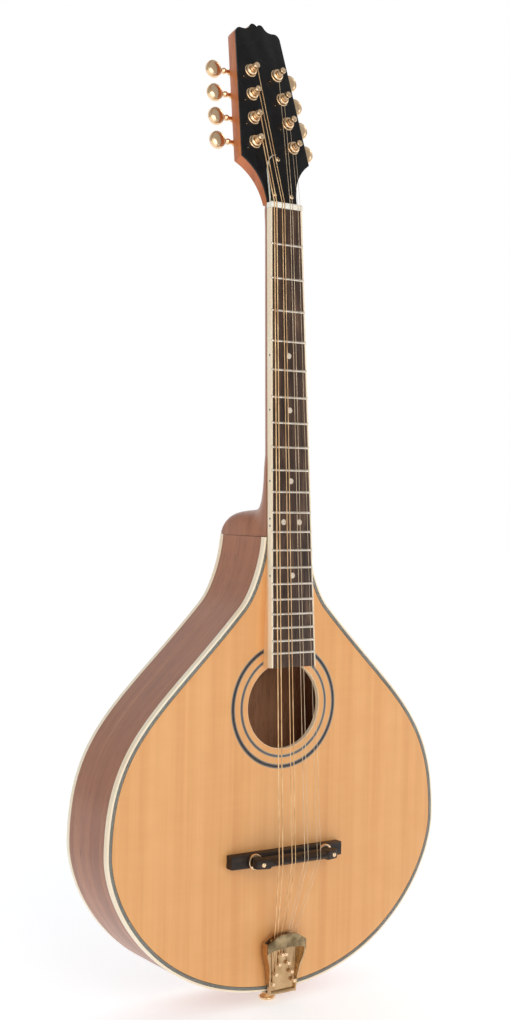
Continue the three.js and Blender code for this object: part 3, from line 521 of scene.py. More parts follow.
def rounded_section(near, far, front, back, radius, round_front=True):
    """A strip's section whose outer corner is rounded, at its front or at its back."""
    corner = front if round_front else back
    sign = 1 if round_front else -1
    arc = []
    for k in range(6):
        angle = math.pi / 2 * k / 5
        arc.append((near + radius * (1 - math.cos(angle)), corner + sign * radius * (1 - math.sin(angle))))
    rest = [(far, corner), (far, back if round_front else front), (near, back if round_front else front)]
    return arc + rest


def add_body():
    hair = 0.05
    # The soundboard: rings that run from the soundhole to the purfling, front and back, closed into one skin.
    edge = inset_outline(PURFLED + hair)
    centre = Vector((0, HOLE["z"]))
    hole = [tuple(centre + (Vector(p) - centre).normalized() * (HOLE["radius"] + 0.4)) for p in edge]
    shares = [0, 0.12, 0.3, 0.5, 0.7, 0.88, 1]
    lerp = lambda a, b, t: (a[0] + (b[0] - a[0]) * t, a[1] + (b[1] - a[1]) * t)
    front = [[(*lerp(h, e, t)[:1], 0.0, lerp(h, e, t)[1]) for h, e in zip(hole, edge)] for t in shares]
    back = [[(x, PLATE, z) for x, _, z in ring] for ring in reversed(front)]
    lip = [[(x, 0.0, z) for x, _, z in front[0]]]
    points, faces = ring_skin(front + back + lip)
    build("soundboard_visual", points, faces, BODY_FRAME, SPRUCE, slot="spruce_top",
          stands_for=["soundboard"], bevel=0.25)

    points, faces = prism(inset_outline(BINDING["wide"] + hair), DEPTH - PLATE, DEPTH)
    marks = [1] + [0] * (len(faces) - 1)
    build("back_visual", points, faces, BODY_FRAME, [MAHOGANY, MAHOGANY_RAW], slot="mahogany",
          stands_for=["back_plate"], marks=marks)
    # A doubler ring under the soundhole's edge, whose bare end grain shows round the hole: pale wood, painted
    # lighter still as a painted highlight where the light falls on it.
    rim, doubler_out, doubler_back = HOLE["radius"], 41.5, 4.8
    ring = [(rim, 0.35), (rim + 0.4, 0.05), (doubler_out, PLATE + 0.02), (doubler_out, doubler_back),
            (rim, doubler_back), (rim, 0.35)]
    points, faces = lathe(ring, (0, 0, HOLE["z"]), sides=96)
    build("soundhole_edge", points, faces, BODY_FRAME, HOLE_EDGE_PAINTED_LIGHT, slot="spruce_top")

    # Purfling: thin black and white lines let in beside the binding.
    inset = BINDING["wide"] + hair
    for number, (tone, width) in enumerate(PURFLING, 1):
        section = [(inset, 0.0), (inset + width - hair, 0.0), (inset + width - hair, 1.6), (inset, 1.6)]
        material = BLACK_LINE if tone == "black" else WHITE_LINE
        band(LOOP, section, f"purfling_{number}", material, slot="cream_binding")
        inset += width

    tall = BINDING["tall"]
    band(LOOP, rounded_section(0, BINDING["wide"], 0, tall, 0.7), "top_binding_visual", CREAM,
         slot="cream_binding", stands_for=["top_binding"])
    band(LOOP, rounded_section(0, BINDING["wide"], DEPTH - tall, DEPTH, 0.7, False),
         "back_binding_visual", CREAM,
         slot="cream_binding", stands_for=["back_binding"])

    bass = [(Vector((-p.x, p.y)), Vector((t.x, -t.y))) for p, t in reversed(HALF)]
    wall = [(0.03, tall + hair), (SIDE, tall + hair),
            (SIDE, DEPTH - tall - hair), (0.03, DEPTH - tall - hair)]
    band(bass, wall, "rim_bass_visual", MAHOGANY_SIDE, slot="mahogany", stands_for=["rim_bass"])
    band(HALF, wall, "rim_treble_visual", MAHOGANY_SIDE, slot="mahogany", stands_for=["rim_treble"])

    for name, inner, outer, material in [
        ("rosette_inner_pale_in", 44.3, 44.9, PALE_LINE),
        ("rosette_inner_dark", 44.95, 46.95, SLATE_LINE),
        ("rosette_inner_pale_out", 47.0, 47.5, PALE_LINE),
        ("rosette_outer_pale_in", 52.9, 53.4, PALE_LINE),
        ("rosette_outer_edge_in", 53.45, 54.35, SLATE_LINE),
        ("rosette_outer_dark", 54.4, 55.8, BLACK_LINE),
        ("rosette_outer_edge_out", 55.85, 56.75, SLATE_LINE),
        ("rosette_outer_pale_out", 56.8, 57.3, PALE_LINE),
    ]:
        proud = -0.03
        profile = [(inner, proud), (outer, proud), (outer, 0.5), (inner, 0.5), (inner, proud)]
        points, faces = lathe(profile, (0, 0, HOLE["z"]), sides=128)
        build(name, points, faces, BODY_FRAME, material, slot="black_gloss")


def dress_inside():
    """The hidden pieces keep their CAD shape: bare wood in the body, steel in the neck."""
    for material, nodes in [
        (MAHOGANY_RAW, ["top_lining", "back_lining", "neck_block", "tail_block"]),
        (RAW_SPRUCE, ["x_brace", "upper_brace", "back_brace_upper", "back_brace_lower"]),
        (TRUSS, ["truss_rod"]),
    ]:
        for node in nodes:
            frame["nodes"][node].data.materials.clear()
            frame["nodes"][node].data.materials.append(material)


# ---------------------------------------------------------------- neck and headstock

def board_half(z):
    return BOARD["nut_half"] + BOARD["flare"] * (NUT_Z - z)


def fret_z(number):
    return NUT_Z - SCALE * (1 - 2 ** (-number / 12))


def blend_between(value, low, high):
    share = min(max((value - low) / (high - low), 0.0), 1.0)
    return share * share * (3 - 2 * share)


def add_neck():
    under = BOARD["thick"] + 0.3
    joint = 0.3
    to_neck = (NECK_FRAME.inverted() @ BODY_FRAME)

    def body_point(x, y, z):
        return to_neck @ Vector((x, y, z))

    sections = []
    # The swell under the headstock, where the neck's back runs out.
    head_to_neck = NECK_FRAME.inverted() @ HEAD_FRAME
    for z, crest in [(42, 17.3), (36, 17.5), (30, 17.8), (25, 17.95), (20, 18.0), (16, 17.95), (12, 17.9)]:
        side = head_to_neck @ Vector((0, HEAD["face"] + 4.3, z))
        sections.append((side, head_to_neck @ Vector((0, crest, z)), HEAD["root_half"] - 0.4, 0.85))
    # The shaft, from the nut down to the start of the heel.
    for z in [299, 296, 292, 287, 281, 273, 262, 245, 220, 190, 160, 130, 105, 85, 70]:
        depth = 13 + 2.6 * (302 - z) / 232
        half = board_half(z) - blend_between(z, 290, 299)
        sections.append((Vector((0, under, z)), Vector((0, under + depth, z)), half,
                         1.1 - 0.25 * blend_between(z, 275, 299)))
    # The heel: its sections fan from across the neck to straight back along the body's end.
    heel = [
        # (side line y, side line z, crest y, crest z, half width, boxiness), in the body's frame
        (3.4, 62, 19.6, 62, 22.0, 1.05),
        (2.8, 50, 20.2, 51.5, 22.1, 0.98),
        (2.1, 38, 21.8, 42.5, 22.1, 0.88),
        (1.5, 26, 24.0, 35.5, 22.1, 0.78),
        (1.0, 15, 26.6, 30.5, 22.2, 0.68),
        (0.6, 6, 29.6, 27.4, 22.3, 0.58),
        (0.4, joint, 33.0, 25.4, 22.5, 0.50),
        (9, joint, 37.0, 24.4, 22.9, 0.44),
        (19, joint, 41.5, 23.8, 23.4, 0.39),
        (30, joint, 47.0, 23.3, 23.9, 0.35),
        (41, joint, 52.5, 22.6, 24.2, 0.33),
        (51, joint, 58.0, 21.4, 24.4, 0.32),
        (59, joint, 63.5, 19.2, 24.4, 0.32),
        (65.5, joint, 68.2, 15.6, 24.4, 0.33),
        (70, joint, 71.4, 11.0, 24.2, 0.34),
        (73, joint, 73.4, 6.0, 23.8, 0.36),
        (74, joint, 74.0, 2.0, 23.2, 0.40),
    ]
    for side_y, side_z, crest_y, crest_z, half, box in heel:
        sections.append((body_point(0, side_y, BODY_TOP + side_z),
                         body_point(0, crest_y, BODY_TOP + crest_z), half, box))
    count = 28
    rings = []
    for side, crest, half, power in sections:
        ring = []
        for k in range(count + 1):
            angle = math.pi * k / count
            rise = math.sin(angle) ** power if 0 < k < count else 0.0
            spot = side + (crest - side) * rise
            wide = math.copysign(abs(math.cos(angle)) ** min(0.35 + 0.65 * power / 0.78, 1.0),
                             math.cos(angle))
            ring.append((half * wide, spot.y, spot.z))
        rings.append(ring)
    points, faces = skin(rings)
    build("neck_visual", points, faces, NECK_FRAME, MAHOGANY, slot="mahogany", stands_for=["neck"], smooth=50)

    outline = head_outline()
    back = HEAD["face"] + HEAD["thick"]
    points, faces = prism(outline, HEAD["face"] + HEAD["overlay"], back)
    # The back is flat above the shoulders and slopes forward below them.
    count = len(outline)
    shoulder_z, root_z, root_back = HEAD["shoulder"][1], HEAD["start"] - 2, HEAD["face"] + HEAD["root_thick"]
    for i, (x, z) in enumerate(outline):
        share = max(shoulder_z - z, 0) / (shoulder_z - root_z)
        points[count + i] = (x, back + (root_back - back) * share, z)
    first, last = SHOULDER_AT, count - 1 - SHOULDER_AT
    upper = [count + i for i in range(first, last + 1)]
    lower = [count + i for i in [*range(last, count), *range(0, first + 1)]]
    faces[1:2] = [upper[::-1], lower[::-1]]
    # The headstock takes the orange copy of the mahogany: painted reflected light from the gold tuners.
    build("headstock_core", points, faces, HEAD_FRAME, MAHOGANY_HEAD_PAINTED_GLOW, slot="mahogany",
          bevel=0.7, segments=3, smooth=30)
    points, faces = prism(outline, HEAD["face"], HEAD["face"] + HEAD["overlay"] - 0.02)
    build("headstock_overlay_visual", points, faces, HEAD_FRAME, BLACK, slot="black_gloss",
          stands_for=["headstock_overlay"], bevel=0.3, smooth=30)
    add_rod_cover()


SHOULDER_AT = 18                          # the shoulder's place among the outline's points


def head_outline():
    tip_x, tip_z = HEAD["tip"]
    shoulder = HEAD["shoulder"]
    pieces = [
        bezier((HEAD["root_half"], HEAD["start"]), (HEAD["root_half"], 26),
               (23, 40.5), shoulder, SHOULDER_AT),
        bezier(shoulder, shoulder, HEAD["tip"], HEAD["tip"], 1),
        bezier(HEAD["tip"], (tip_x - 0.8, tip_z + 3), (tip_x - 2.7, tip_z + 5), (tip_x - 5.7, tip_z + 5), 6),
        bezier((tip_x - 5.7, tip_z + 5), (13, tip_z + 4), (9.5, tip_z + 5.5), (7.6, tip_z + 9.2), 8),
        bezier((7.6, tip_z + 9.2), (6, tip_z + 12.4), (2.2, tip_z + 12.2), (0, tip_z + 9.2), 8),
    ]
    half = [tuple(point) for piece in pieces for point, _ in piece]
    return half + [(0, tip_z + 9.2)] + [(-x, z) for x, z in reversed(half)]


def add_rod_cover():
    """The bell-shaped cover: black, with a white layer at its bevelled edge, and three screws."""
    def bell(inset):
        stations = bezier((15.2, 6.9), (14.2, 16), (13.8, 28), (13, 38.5), 8)
        stations += bezier((13, 38.5), (12.2, 47), (7.5, 55), (0, 55.5), 18)
        half = [(p.x - t.y * inset, max(p.y + t.x * inset, 6.9 + inset)) for p, t in stations]
        return half + [(0, 55.5 - inset)] + [(-x, z) for x, z in reversed(half)]

    back = HEAD["face"] - 0.3
    wide, narrow = bell(0), bell(1.0)
    rings = [[(x, y, z) for x, z in shape] for shape, y in [
        (wide, back), (wide, back - 0.6), (narrow, back - 1.5), (narrow, back - 2.2)]]
    points, faces = skin(rings)
    count = len(wide)
    marks = [0] * count + [1] * count + [0] * count + [0, 0]
    build("truss_rod_cover_visual", points, faces, HEAD_FRAME, [BLACK, WHITE_LINE], slot="black_gloss",
          stands_for=["truss_rod_cover"], marks=marks, smooth=30)
    for number, (x, z) in enumerate([(-9.3, 14.0), (9.3, 14.0), (0, 50.0)], 1):
        screw(f"cover_screw_{number}", x, z, back - 2.2, 2.2, HEAD_FRAME)


def screw(name, x, z, face, radius, place, facing=-1):
    """A small raised-head screw standing on the surface at y = face, with a thin black cross laid on its head
    as painted shade for its cross slot.
    """
    rise = radius * 0.42
    profile = [(0.001, face - 2 * facing), (radius * 0.5, face - 2 * facing),
               (radius * 0.5, face), (radius, face)]
    for k in range(1, 7):
        angle = math.pi / 2 * k / 6
        profile.append((max(radius * math.cos(angle), 0.001), face + facing * rise * math.sin(angle)))
    head = lathe(profile, (x, 0, z), sides=24)
    build(name, *head, place, GOLD, slot="gold_plate")
    # The slot is not cut: a thin black cross laid on the head is painted shade for it.
    arm, wide = radius * 0.62, radius * 0.14
    top = face + facing * (rise + 0.02)
    cross = [(-arm, -wide), (-wide, -wide), (-wide, -arm), (wide, -arm), (wide, -wide), (arm, -wide),
             (arm, wide), (wide, wide), (wide, arm), (-wide, arm), (-wide, wide), (-arm, wide)]
    points, faces = prism([(x + u, z + v) for u, v in cross], top, top - facing * 0.3)
    build(name + "_slot_painted_shade", points, faces, place, BLACK_LINE, slot="gold_plate")


def add_fretboard():
    end, edge = -BOARD["past"], BOARD["edge"]
    hair = 0.03
    low, high = end, NUT_Z
    core = [(-board_half(low) + edge + hair, low), (board_half(low) - edge - hair, low),
            (BOARD["nut_half"] - edge - hair, high), (-BOARD["nut_half"] + edge + hair, high)]
    points, faces = prism(core, 0, BOARD["thick"])
    build("fretboard_visual", points, faces, NECK_FRAME, ROSEWOOD, slot="dark_rosewood",
          stands_for=["fretboard"], bevel=0.12)
    nut, tail = BOARD["nut_half"], board_half(end)
    strips = [prism([(side * nut, high), (side * tail, end),
                     (side * (tail - edge), end), (side * (nut - edge), high)],
                    0, BOARD["thick"]) for side in (-1, 1)]
    points, faces = merged(*strips)
    build("fretboard_binding_visual", points, faces, NECK_FRAME, CREAM, slot="cream_binding",
          stands_for=["fretboard_binding"], bevel=0.25)

    for number in range(1, FRETS + 1):
        z, half, tall, wide = fret_z(number), board_half(fret_z(number)) - 0.15, 1.0, 1.15
        crown = [(wide * math.cos(math.pi * k / 10), -tall * math.sin(math.pi * k / 10)) for k in range(11)]
        stations = [(-half, 0.25), (-half + 0.5, 0.8), (-half + 1.1, 1.0),
                    (half - 1.1, 1.0), (half - 0.5, 0.8), (half, 0.25)]
        rings = [[(x, y * rise - 0.001, z + dz) for dz, y in crown] + [(x, 0.2, z)] for x, rise in stations]
        points, faces = skin(rings)
        build(f"fret_{number}", points, faces, NECK_FRAME, STEEL, slot="plain_steel", smooth=50)

    def disc(name, x, z, radius, material):
        profile = [(0.001, 0.4), (radius, 0.4), (radius, -0.01), (radius - 0.12, -0.035), (0.001, -0.04)]
        points, faces = lathe(profile, (x, 0, z), sides=32)
        build(name, points, faces, NECK_FRAME, material, slot="bone_nut")

    for number, places in [(5, [0]), (7, [0]), (10, [0]), (12, [-8.7, 8.7]), (15, [0])]:
        middle = (fret_z(number) + fret_z(number - 1)) / 2
        for spot, x in enumerate(places, 1):
            disc(f"dot_{number}_{spot}", x, middle, 2.6, PEARL)
        offsets = [-3.2, 3.2] if len(places) == 2 else [0]
        for spot, offset in enumerate(offsets, 1):
            half = board_half(middle + offset)
            profile = [(0.001, -half + 0.4), (0.95, -half + 0.4), (0.95, -half - 0.02), (0.001, -half - 0.05)]
            points, faces = lathe(profile, (0, 2.6, middle + offset), axis="x", sides=20)
            build(f"side_dot_{number}_{spot}", points, faces, NECK_FRAME, BLACK_LINE, slot="black_gloss")

    add_nut()
    low_corner, high_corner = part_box("fretboard_riser")
    base, top = low_corner.z / MM, high_corner.z / MM
    thin = 0.12
    wedge_y = lambda z: -RISE + BOARD["thick"] + 0.3 - (z - JOINT_Z) * -math.tan(NECK_TILT)
    half_at = lambda z: board_half(z - JOINT_Z)
    points = []
    for z in (base, top):
        for x in (-half_at(z) + 0.4, half_at(z) - 0.4):
            points += [(x, -thin, z), (x, min(wedge_y(z) - 0.02, -thin - 0.05), z)]
    faces = [[0, 1, 3, 2], [4, 6, 7, 5], [0, 2, 6, 4], [1, 5, 7, 3], [0, 4, 5, 1], [2, 3, 7, 6]]
    # Painted light: the riser takes the lighter copy of the top's spruce, against the fretboard's shade.
    build("riser_visual", points, faces, BODY_FRAME, RISER_PAINTED_LIGHT, slot="spruce_top", stands_for=["fretboard_riser"])


def add_nut():
    """The nut: a bone block with a rounded top and a slot under each string."""
    half, thick, proud = BOARD["nut_half"], NUT["thick"] - NUT["gap"], NUT["proud"]
    strings = sorted((plan["nut_x"], plan["radius"]) for plan in string_plans())
    xs = {-half, half, -half + 0.5, half - 0.5}
    for x, radius in strings:
        xs |= {x - radius - 0.25, x - radius - 0.05, x, x + radius + 0.05, x + radius + 0.25}
    rings = []
    for x in sorted(xs):
        dip = max((0.62 for s, r in strings if abs(x - s) <= r + 0.1), default=0.0)
        ends = 0.45 if abs(abs(x) - half) < 0.01 else 0.0
        top = -proud + dip + ends
        crown = []
        for k in range(9):
            angle = math.pi * k / 8
            along = NUT_Z + NUT["gap"] + thick * (0.5 - 0.5 * math.cos(angle))
            crown.append((top + 0.55 * (1 - math.sin(angle)), along))
        rings.append([(x, y, z) for y, z in crown] +
                     [(x, BOARD["thick"], NUT_Z + NUT["thick"]), (x, BOARD["thick"], NUT_Z + NUT["gap"])])
    points, faces = skin(rings)
    build("nut_visual", points, faces, NECK_FRAME, BONE, slot="bone_nut", stands_for=["nut"], smooth=32)


# ---------------------------------------------------------------- tuning machines

def tuner_places():
    """Each tuner's number, side, place in its row, and place on the headstock, read from the post joints."""
    to_head = HEAD_FRAME.inverted()
    made = []
    for number in range(1, 9):
        spot = to_head @ Vector(joints[f"string_post_{number}_turn"]["pos_m"])
        made.append({"number": number, "side": -1 if spot.x < 0 else 1,
                     "row": (number - 1) % 4, "x": spot.x, "z": spot.z})
    return made


def add_tuners():
    face = HEAD["face"]
    for place in tuner_places():
        number, side, x, z = place["number"], place["side"], place["x"], place["z"]
        # Collar: a washer with a stepped, rounded nut on it.
        top = face - TUNER["collar_tall"]
        profile = [(3.05, face), (6.2, face), (6.2, face - 0.55), (5.95, face - 0.8), (5.5, face - 0.9),
                   (5.5, top + 1.5), (5.3, top + 0.8), (4.8, top + 0.25),
                   (4.1, top), (3.6, top + 0.1), (3.05, top + 0.6), (3.05, face)]
        points, faces = lathe(profile, (x, 0, z), sides=48)
        build(f"tuner_collar_{number}", points, faces, HEAD_FRAME, GOLD, slot="gold_plate", smooth=30)
        add_housing(number, side, x, z)
        add_post(number, x, z)
        add_knob(number, side, x, z)


def add_post(number, x, z):
    face = HEAD["face"]
    waist, wide = POST["waist"], POST["radius"]
    low, high, top = face - POST["waist_from"], face - POST["waist_to"], face - POST["top"]
    profile = [(0.001, face + 12), (wide, face + 12), (wide, low + 0.6), (wide - 0.15, low + 0.35)]
    profile += [(waist + (wide - waist - 0.15) * (1 - math.sin(math.pi * k / 8)), low + (high - low) * k / 8)
                for k in range(1, 8)]
    profile += [(wide - 0.15, high - 0.1), (wide, high - 0.35), (wide, top + 0.6), (wide - 0.2, top + 0.22),
                (wide - 0.6, top + 0.04), (1.0, top), (0.8, top + 0.25), (0.001, top + 0.3)]
    points, faces = lathe(profile, (x, 0, z), sides=36)
    build(f"string_post_{number}_visual", points, faces, HEAD_FRAME, GOLD, body=f"post_{number}",
          slot="gold_plate", stands_for=[f"string_post_{number}"], smooth=30)


def add_knob(number, side, x, z):
    depth = HEAD["face"] + TUNER["worm_back"]
    axis_z = z + TUNER["worm_side"]
    middle = x + side * TUNER["knob_out"]
    # The button: an oval disc with a raised band round its rim.
    tall, long, thick = 8.4, 7.8, 3.7
    half = [(radius, thick * share) for radius, share in [
        (0.001, 1), (0.2, 0.985), (0.4, 0.94), (0.58, 0.86), (0.72, 0.75), (0.79, 0.66), (0.82, 0.68),
        (0.87, 0.72), (0.93, 0.66), (0.98, 0.45), (1.0, 0.2)]]
    profile = half + [(r, -s) for r, s in reversed(half)]
    button = lathe(profile, (middle, depth, axis_z), sides=56, stretch=(long, tall))
    # The shaft, with a bead beside the button and a sleeve where it leaves the gearbox.
    inner, outer = x + side * 8.4, middle - side * long * 0.86
    run = lambda share: inner + (outer - inner) * share
    shaft_profile = [(0.001, inner), (2.0, inner), (2.0, run(0.48)), (2.4, run(0.51)),
                     (2.9, run(0.56)), (3.05, run(0.65)),
                     (2.9, run(0.74)), (2.3, run(0.80)), (2.0, run(0.86)), (2.4, run(0.94)), (2.6, outer),
                     (0.001, outer + side * 0.5)]
    shaft = lathe(shaft_profile, (0, depth, axis_z), axis="x", sides=28)
    points, faces = merged(button, shaft)
    build(f"tuner_knob_{number}_visual", points, faces, HEAD_FRAME, GOLD, body=f"knob_{number}",
          slot="gold_plate", stands_for=[f"tuner_knob_{number}"], smooth=32)


def add_housing(number, side, x, z):
    """The gearbox behind the headstock: a rounded case, a boss for the shaft and a lug with its screw."""
    front, back = HEAD["face"] + HEAD["thick"] + 0.4, HEAD["face"] + 23.8
    low, high, half = z - 7.4, z + 10.8, 8.0
    corner = 3.2
    outline = []
    for cx, cz, start in [(x + half - corner, low + corner, -0.25), (x + half - corner, high - corner, 0.0),
                          (x - half + corner, high - corner, 0.25), (x - half + corner, low + corner, 0.5)]:
        for k in range(7):
            angle = TURN * (start + k / 24)
            outline.append((cx + corner * math.cos(angle), cz + corner * math.sin(angle)))
    middle = Vector((x, (low + high) / 2))
    rings = []
    for share, y in [(1.0, front), (1.0, back - 2.6), (0.975, back - 1.5),
                     (0.92, back - 0.7), (0.83, back - 0.2), (0.7, back)]:
        rings.append([(middle.x + (u - middle.x) * share, y, middle.y + (v - middle.y) * share)
                      for u, v in outline])
    case = skin(rings)
    depth = HEAD["face"] + TUNER["worm_back"]
    boss_end = x + side * 10.6
    boss = lathe([(0.001, x + side * 7), (3.3, x + side * 7), (3.3, boss_end - side * 0.5),
                  (2.8, boss_end), (0.001, boss_end)],
                 (0, depth, z + TUNER["worm_side"]), axis="x", sides=28)
    base = HEAD["face"] + HEAD["thick"] + 0.02
    lug_x, lug_z = x - LUG["out"], z - LUG["below"]
    lug = lathe([(0.001, base), (LUG["radius"], base), (LUG["radius"], base + 1.2),
                 (LUG["radius"] - 0.4, base + 1.6),
                 (0.001, base + 1.6)], (lug_x, 0, lug_z), sides=28)
    points, faces = merged(case, boss, lug)
    build(f"tuner_housing_{number}_visual", points, faces, HEAD_FRAME, GOLD, slot="gold_plate",
          stands_for=[f"tuner_housing_{number}"], smooth=32)
    screw(f"tuner_screw_{number}", lug_x, lug_z, base + 1.6, 1.7, HEAD_FRAME, facing=1)
    face = HEAD["face"]
    tip = [(0.001, face - 0.35), (0.35, face - 0.2), (0.6, face + 0.3), (0.001, face + 0.3)]
    points, faces = lathe(tip, (lug_x, 0, lug_z), sides=12)
    build(f"tuner_screw_tip_{number}", points, faces, HEAD_FRAME, GOLD_SATIN, slot="gold_plate")


# ---------------------------------------------------------------- strings

def string_plans():
    """Where each string crosses the tailpiece, the saddle and the nut, and how thick it is."""
    tail_top = JOINT_Z - 361
    made = []
    for place in tuner_places():
        side, row = place["side"], place["row"]
        course, lean = (0 if row < 2 else 1), (1 if row % 2 == 0 else -1)
        radius = ((1.1, 0.8) if side < 0 else (0.35, 0.5))[course] / 2
        made.append({
            **place,
            "radius": radius,
            "comb_x": side * ((10.0, 3.4)[course] + lean * 1.5),
            "saddle_x": side * ((20.9, 6.95)[course] + lean * 1.9),
            "nut_x": side * ((13.1, 4.4)[course] + lean * 1.3),
            "rest_y": -8.1 - radius,
            "post_x": place["x"] - side * (POST["waist"] + radius + 0.25),
            "peg_z": tail_top - 20 - 8.4 * (3 - row),
        })
    return made


def add_strings():
    rest_low, rest_high = JOINT_Z - 369, JOINT_Z - 366.2
    waist_y = HEAD["face"] - (POST["waist_from"] + POST["waist_to"]) / 2
    body_to_world, to_body = BODY_FRAME, BODY_FRAME.inverted()
    for plan in string_plans():
        number, radius = plan["number"], plan["radius"]
        wound = radius > 0.3
        material = WOUND if wound else PLAIN
        slot = "bronze_wound" if number <= 4 else "plain_steel"
        from_neck = lambda *p: to_body @ (NECK_FRAME @ Vector(p))
        from_head = lambda *p: to_body @ (HEAD_FRAME @ Vector(p))
        saddle = Vector((plan["saddle_x"], STRING_Y, BRIDGE_Z))
        nut = from_neck(plan["nut_x"], -1.35, NUT_Z + 0.5)
        stations = [saddle.lerp(nut, k / 24) for k in range(25)]
        stations += [from_neck(plan["nut_x"], -1.25, NUT_Z + NUT["thick"])]
        stations += [from_head(plan["post_x"], waist_y, plan["z"])]
        points, faces, run = tube(stations, radius)
        neck_side = build(f"string_{number}_speaking", points, faces, BODY_FRAME, material,
                          body=None, slot=slot, grain=run)
        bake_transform(neck_side)
        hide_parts(f"string_{number}")

        comb = Vector((plan["comb_x"], plan["rest_y"], rest_high))
        stations = [(plan["comb_x"], LOOP_Y, plan["peg_z"] + 1.8),
                    (plan["comb_x"], plan["rest_y"] + 0.3, rest_low - 2), comb]
        stations += [comb.lerp(saddle, k / 10) for k in range(1, 11)]
        points, faces, run = tube(stations, radius)
        tail_side = build(f"string_{number}_tail", points, faces, BODY_FRAME, material,
                          body=None, slot=slot, grain=run)
        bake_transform(tail_side)
        add_winding(plan, waist_y, material, slot)
        add_loop(plan, material, slot)


def add_winding(plan, waist_y, material, slot):
    """The turns of a string round its post, from where it arrives to the hole in the waist."""
    radius, side = plan["radius"], plan["side"]
    reach = POST["waist"] + radius + 0.08
    turns = 3.2 if radius > 0.3 else 4.6
    rise = min(2 * radius * 1.06, 2.6 / turns)
    steps = int(turns * 26)
    stations = []
    for k in range(steps + 1):
        share = k / steps
        angle = math.pi * (0 if side < 0 else 1) + side * TURN * turns * share
        y = waist_y - rise * turns / 2 + rise * turns * share
        stations.append((plan["x"] + reach * math.cos(angle), y, plan["z"] + reach * math.sin(angle)))
    points, faces, run = tube(stations, radius, sides=8)
    build(f"string_{plan['number']}_winding", points, faces, HEAD_FRAME, material,
          body=f"post_{plan['number']}", slot=slot, grain=run)


def add_loop(plan, material, slot):
    """The twisted loop end of a string over its peg in the tailpiece."""
    radius = min(plan["radius"], 0.4)
    peg = Vector((plan["comb_x"], LOOP_Y, plan["peg_z"]))
    reach = 1.1 + radius + 0.1
    start = Vector((plan["comb_x"], LOOP_Y, plan["peg_z"] + 5.4))
    stations = []
    for k in range(33):
        angle = math.pi / 2 + TURN * k / 32
        stations.append(peg + Vector((reach * math.cos(angle) * (1 - 0.12 * math.sin(angle)), 0,
                                      reach * math.sin(angle) + (0.9 if math.sin(angle) > 0.95 else 0))))
    twist = []
    for k in range(40):
        share = k / 39
        angle = TURN * 4 * share
        centre = peg + Vector((0, 0, reach)) + (start - peg - Vector((0, 0, reach))) * share
        twist.append(centre + Vector((0.55 * math.cos(angle), 0.55 * math.sin(angle), 0)))
    loop_points, loop_faces, run_a = tube(stations, radius, sides=8)
    twist_points, twist_faces, run_b = tube(twist, radius * 0.9, sides=8)
    points, faces = merged((loop_points, loop_faces), (twist_points, twist_faces))
    build(f"string_{plan['number']}_loop", points, faces, BODY_FRAME, material,
          slot=slot, grain=run_a + run_b)


# ---------------------------------------------------------------- bridge

def add_bridge():
    half, tall, wide = 60.6, 10.0, 12.0
    outline = [(-half, 0.3), (-half, tall - 1.6), (-half + 0.8, tall - 1), (-45, tall), (45, tall),
               (half - 0.8, tall - 1), (half, tall - 1.6), (half, 0.3)]
    points, faces = prism([(x + BRIDGE_X, -h) for x, h in outline], -wide / 2, wide / 2)
    points = [(x, y, z + BRIDGE_Z) for x, z, y in points]
    build("bridge_foot_visual", points, faces, BODY_FRAME, ROSEWOOD_BRIDGE, slot="dark_rosewood",
          stands_for=["bridge_foot"], bevel=0.5, segments=3, smooth=25)
    for name, x in [("bass", BRIDGE_X - STUD_X), ("treble", BRIDGE_X + STUD_X)]:
        profile = [(0.001, -1.0)]
        pitch = 0.7
        for k in range(int(26 / pitch)):
            profile += [(2.0, -1.2 - pitch * k), (1.66, -1.2 - pitch * (k + 0.5))]
        profile += [(1.9, -27.2), (1.5, -27.55), (0.001, -27.6)]
        points, faces = lathe(profile, (x, 0, BRIDGE_Z), sides=24)
        build(f"bridge_stud_{name}", points, faces, BODY_FRAME, GOLD, slot="gold_plate", smooth=60)
        add_thumbwheel(name, x)
    add_saddle()


def add_thumbwheel(name, x):
    """A knurled brass wheel on the stud, under the saddle."""
    teeth, low, high = 44, -11.5, -14.3
    rings = []
    for radius, y in [(2.3, low), (6.55, low), (6.9, low - 0.35), (6.9, high + 0.35),
                      (6.55, high), (2.3, high), (2.3, low)]:
        ring = []
        for k in range(teeth * 2):
            angle = TURN * k / (teeth * 2)
            knurl = (0.16 if k % 2 == 0 else -0.1) if radius > 6.8 else 0.0
            reach = radius + knurl
            ring.append((x + reach * math.cos(angle), y, BRIDGE_Z + reach * math.sin(angle)))
        rings.append(ring)
    points, faces = ring_skin(rings)
    build(f"thumbwheel_{name}_visual", points, faces, BODY_FRAME, GOLD, body=f"thumbwheel_{name}",
          slot="gold_plate", stands_for=[f"thumbwheel_{name}"], smooth=30)


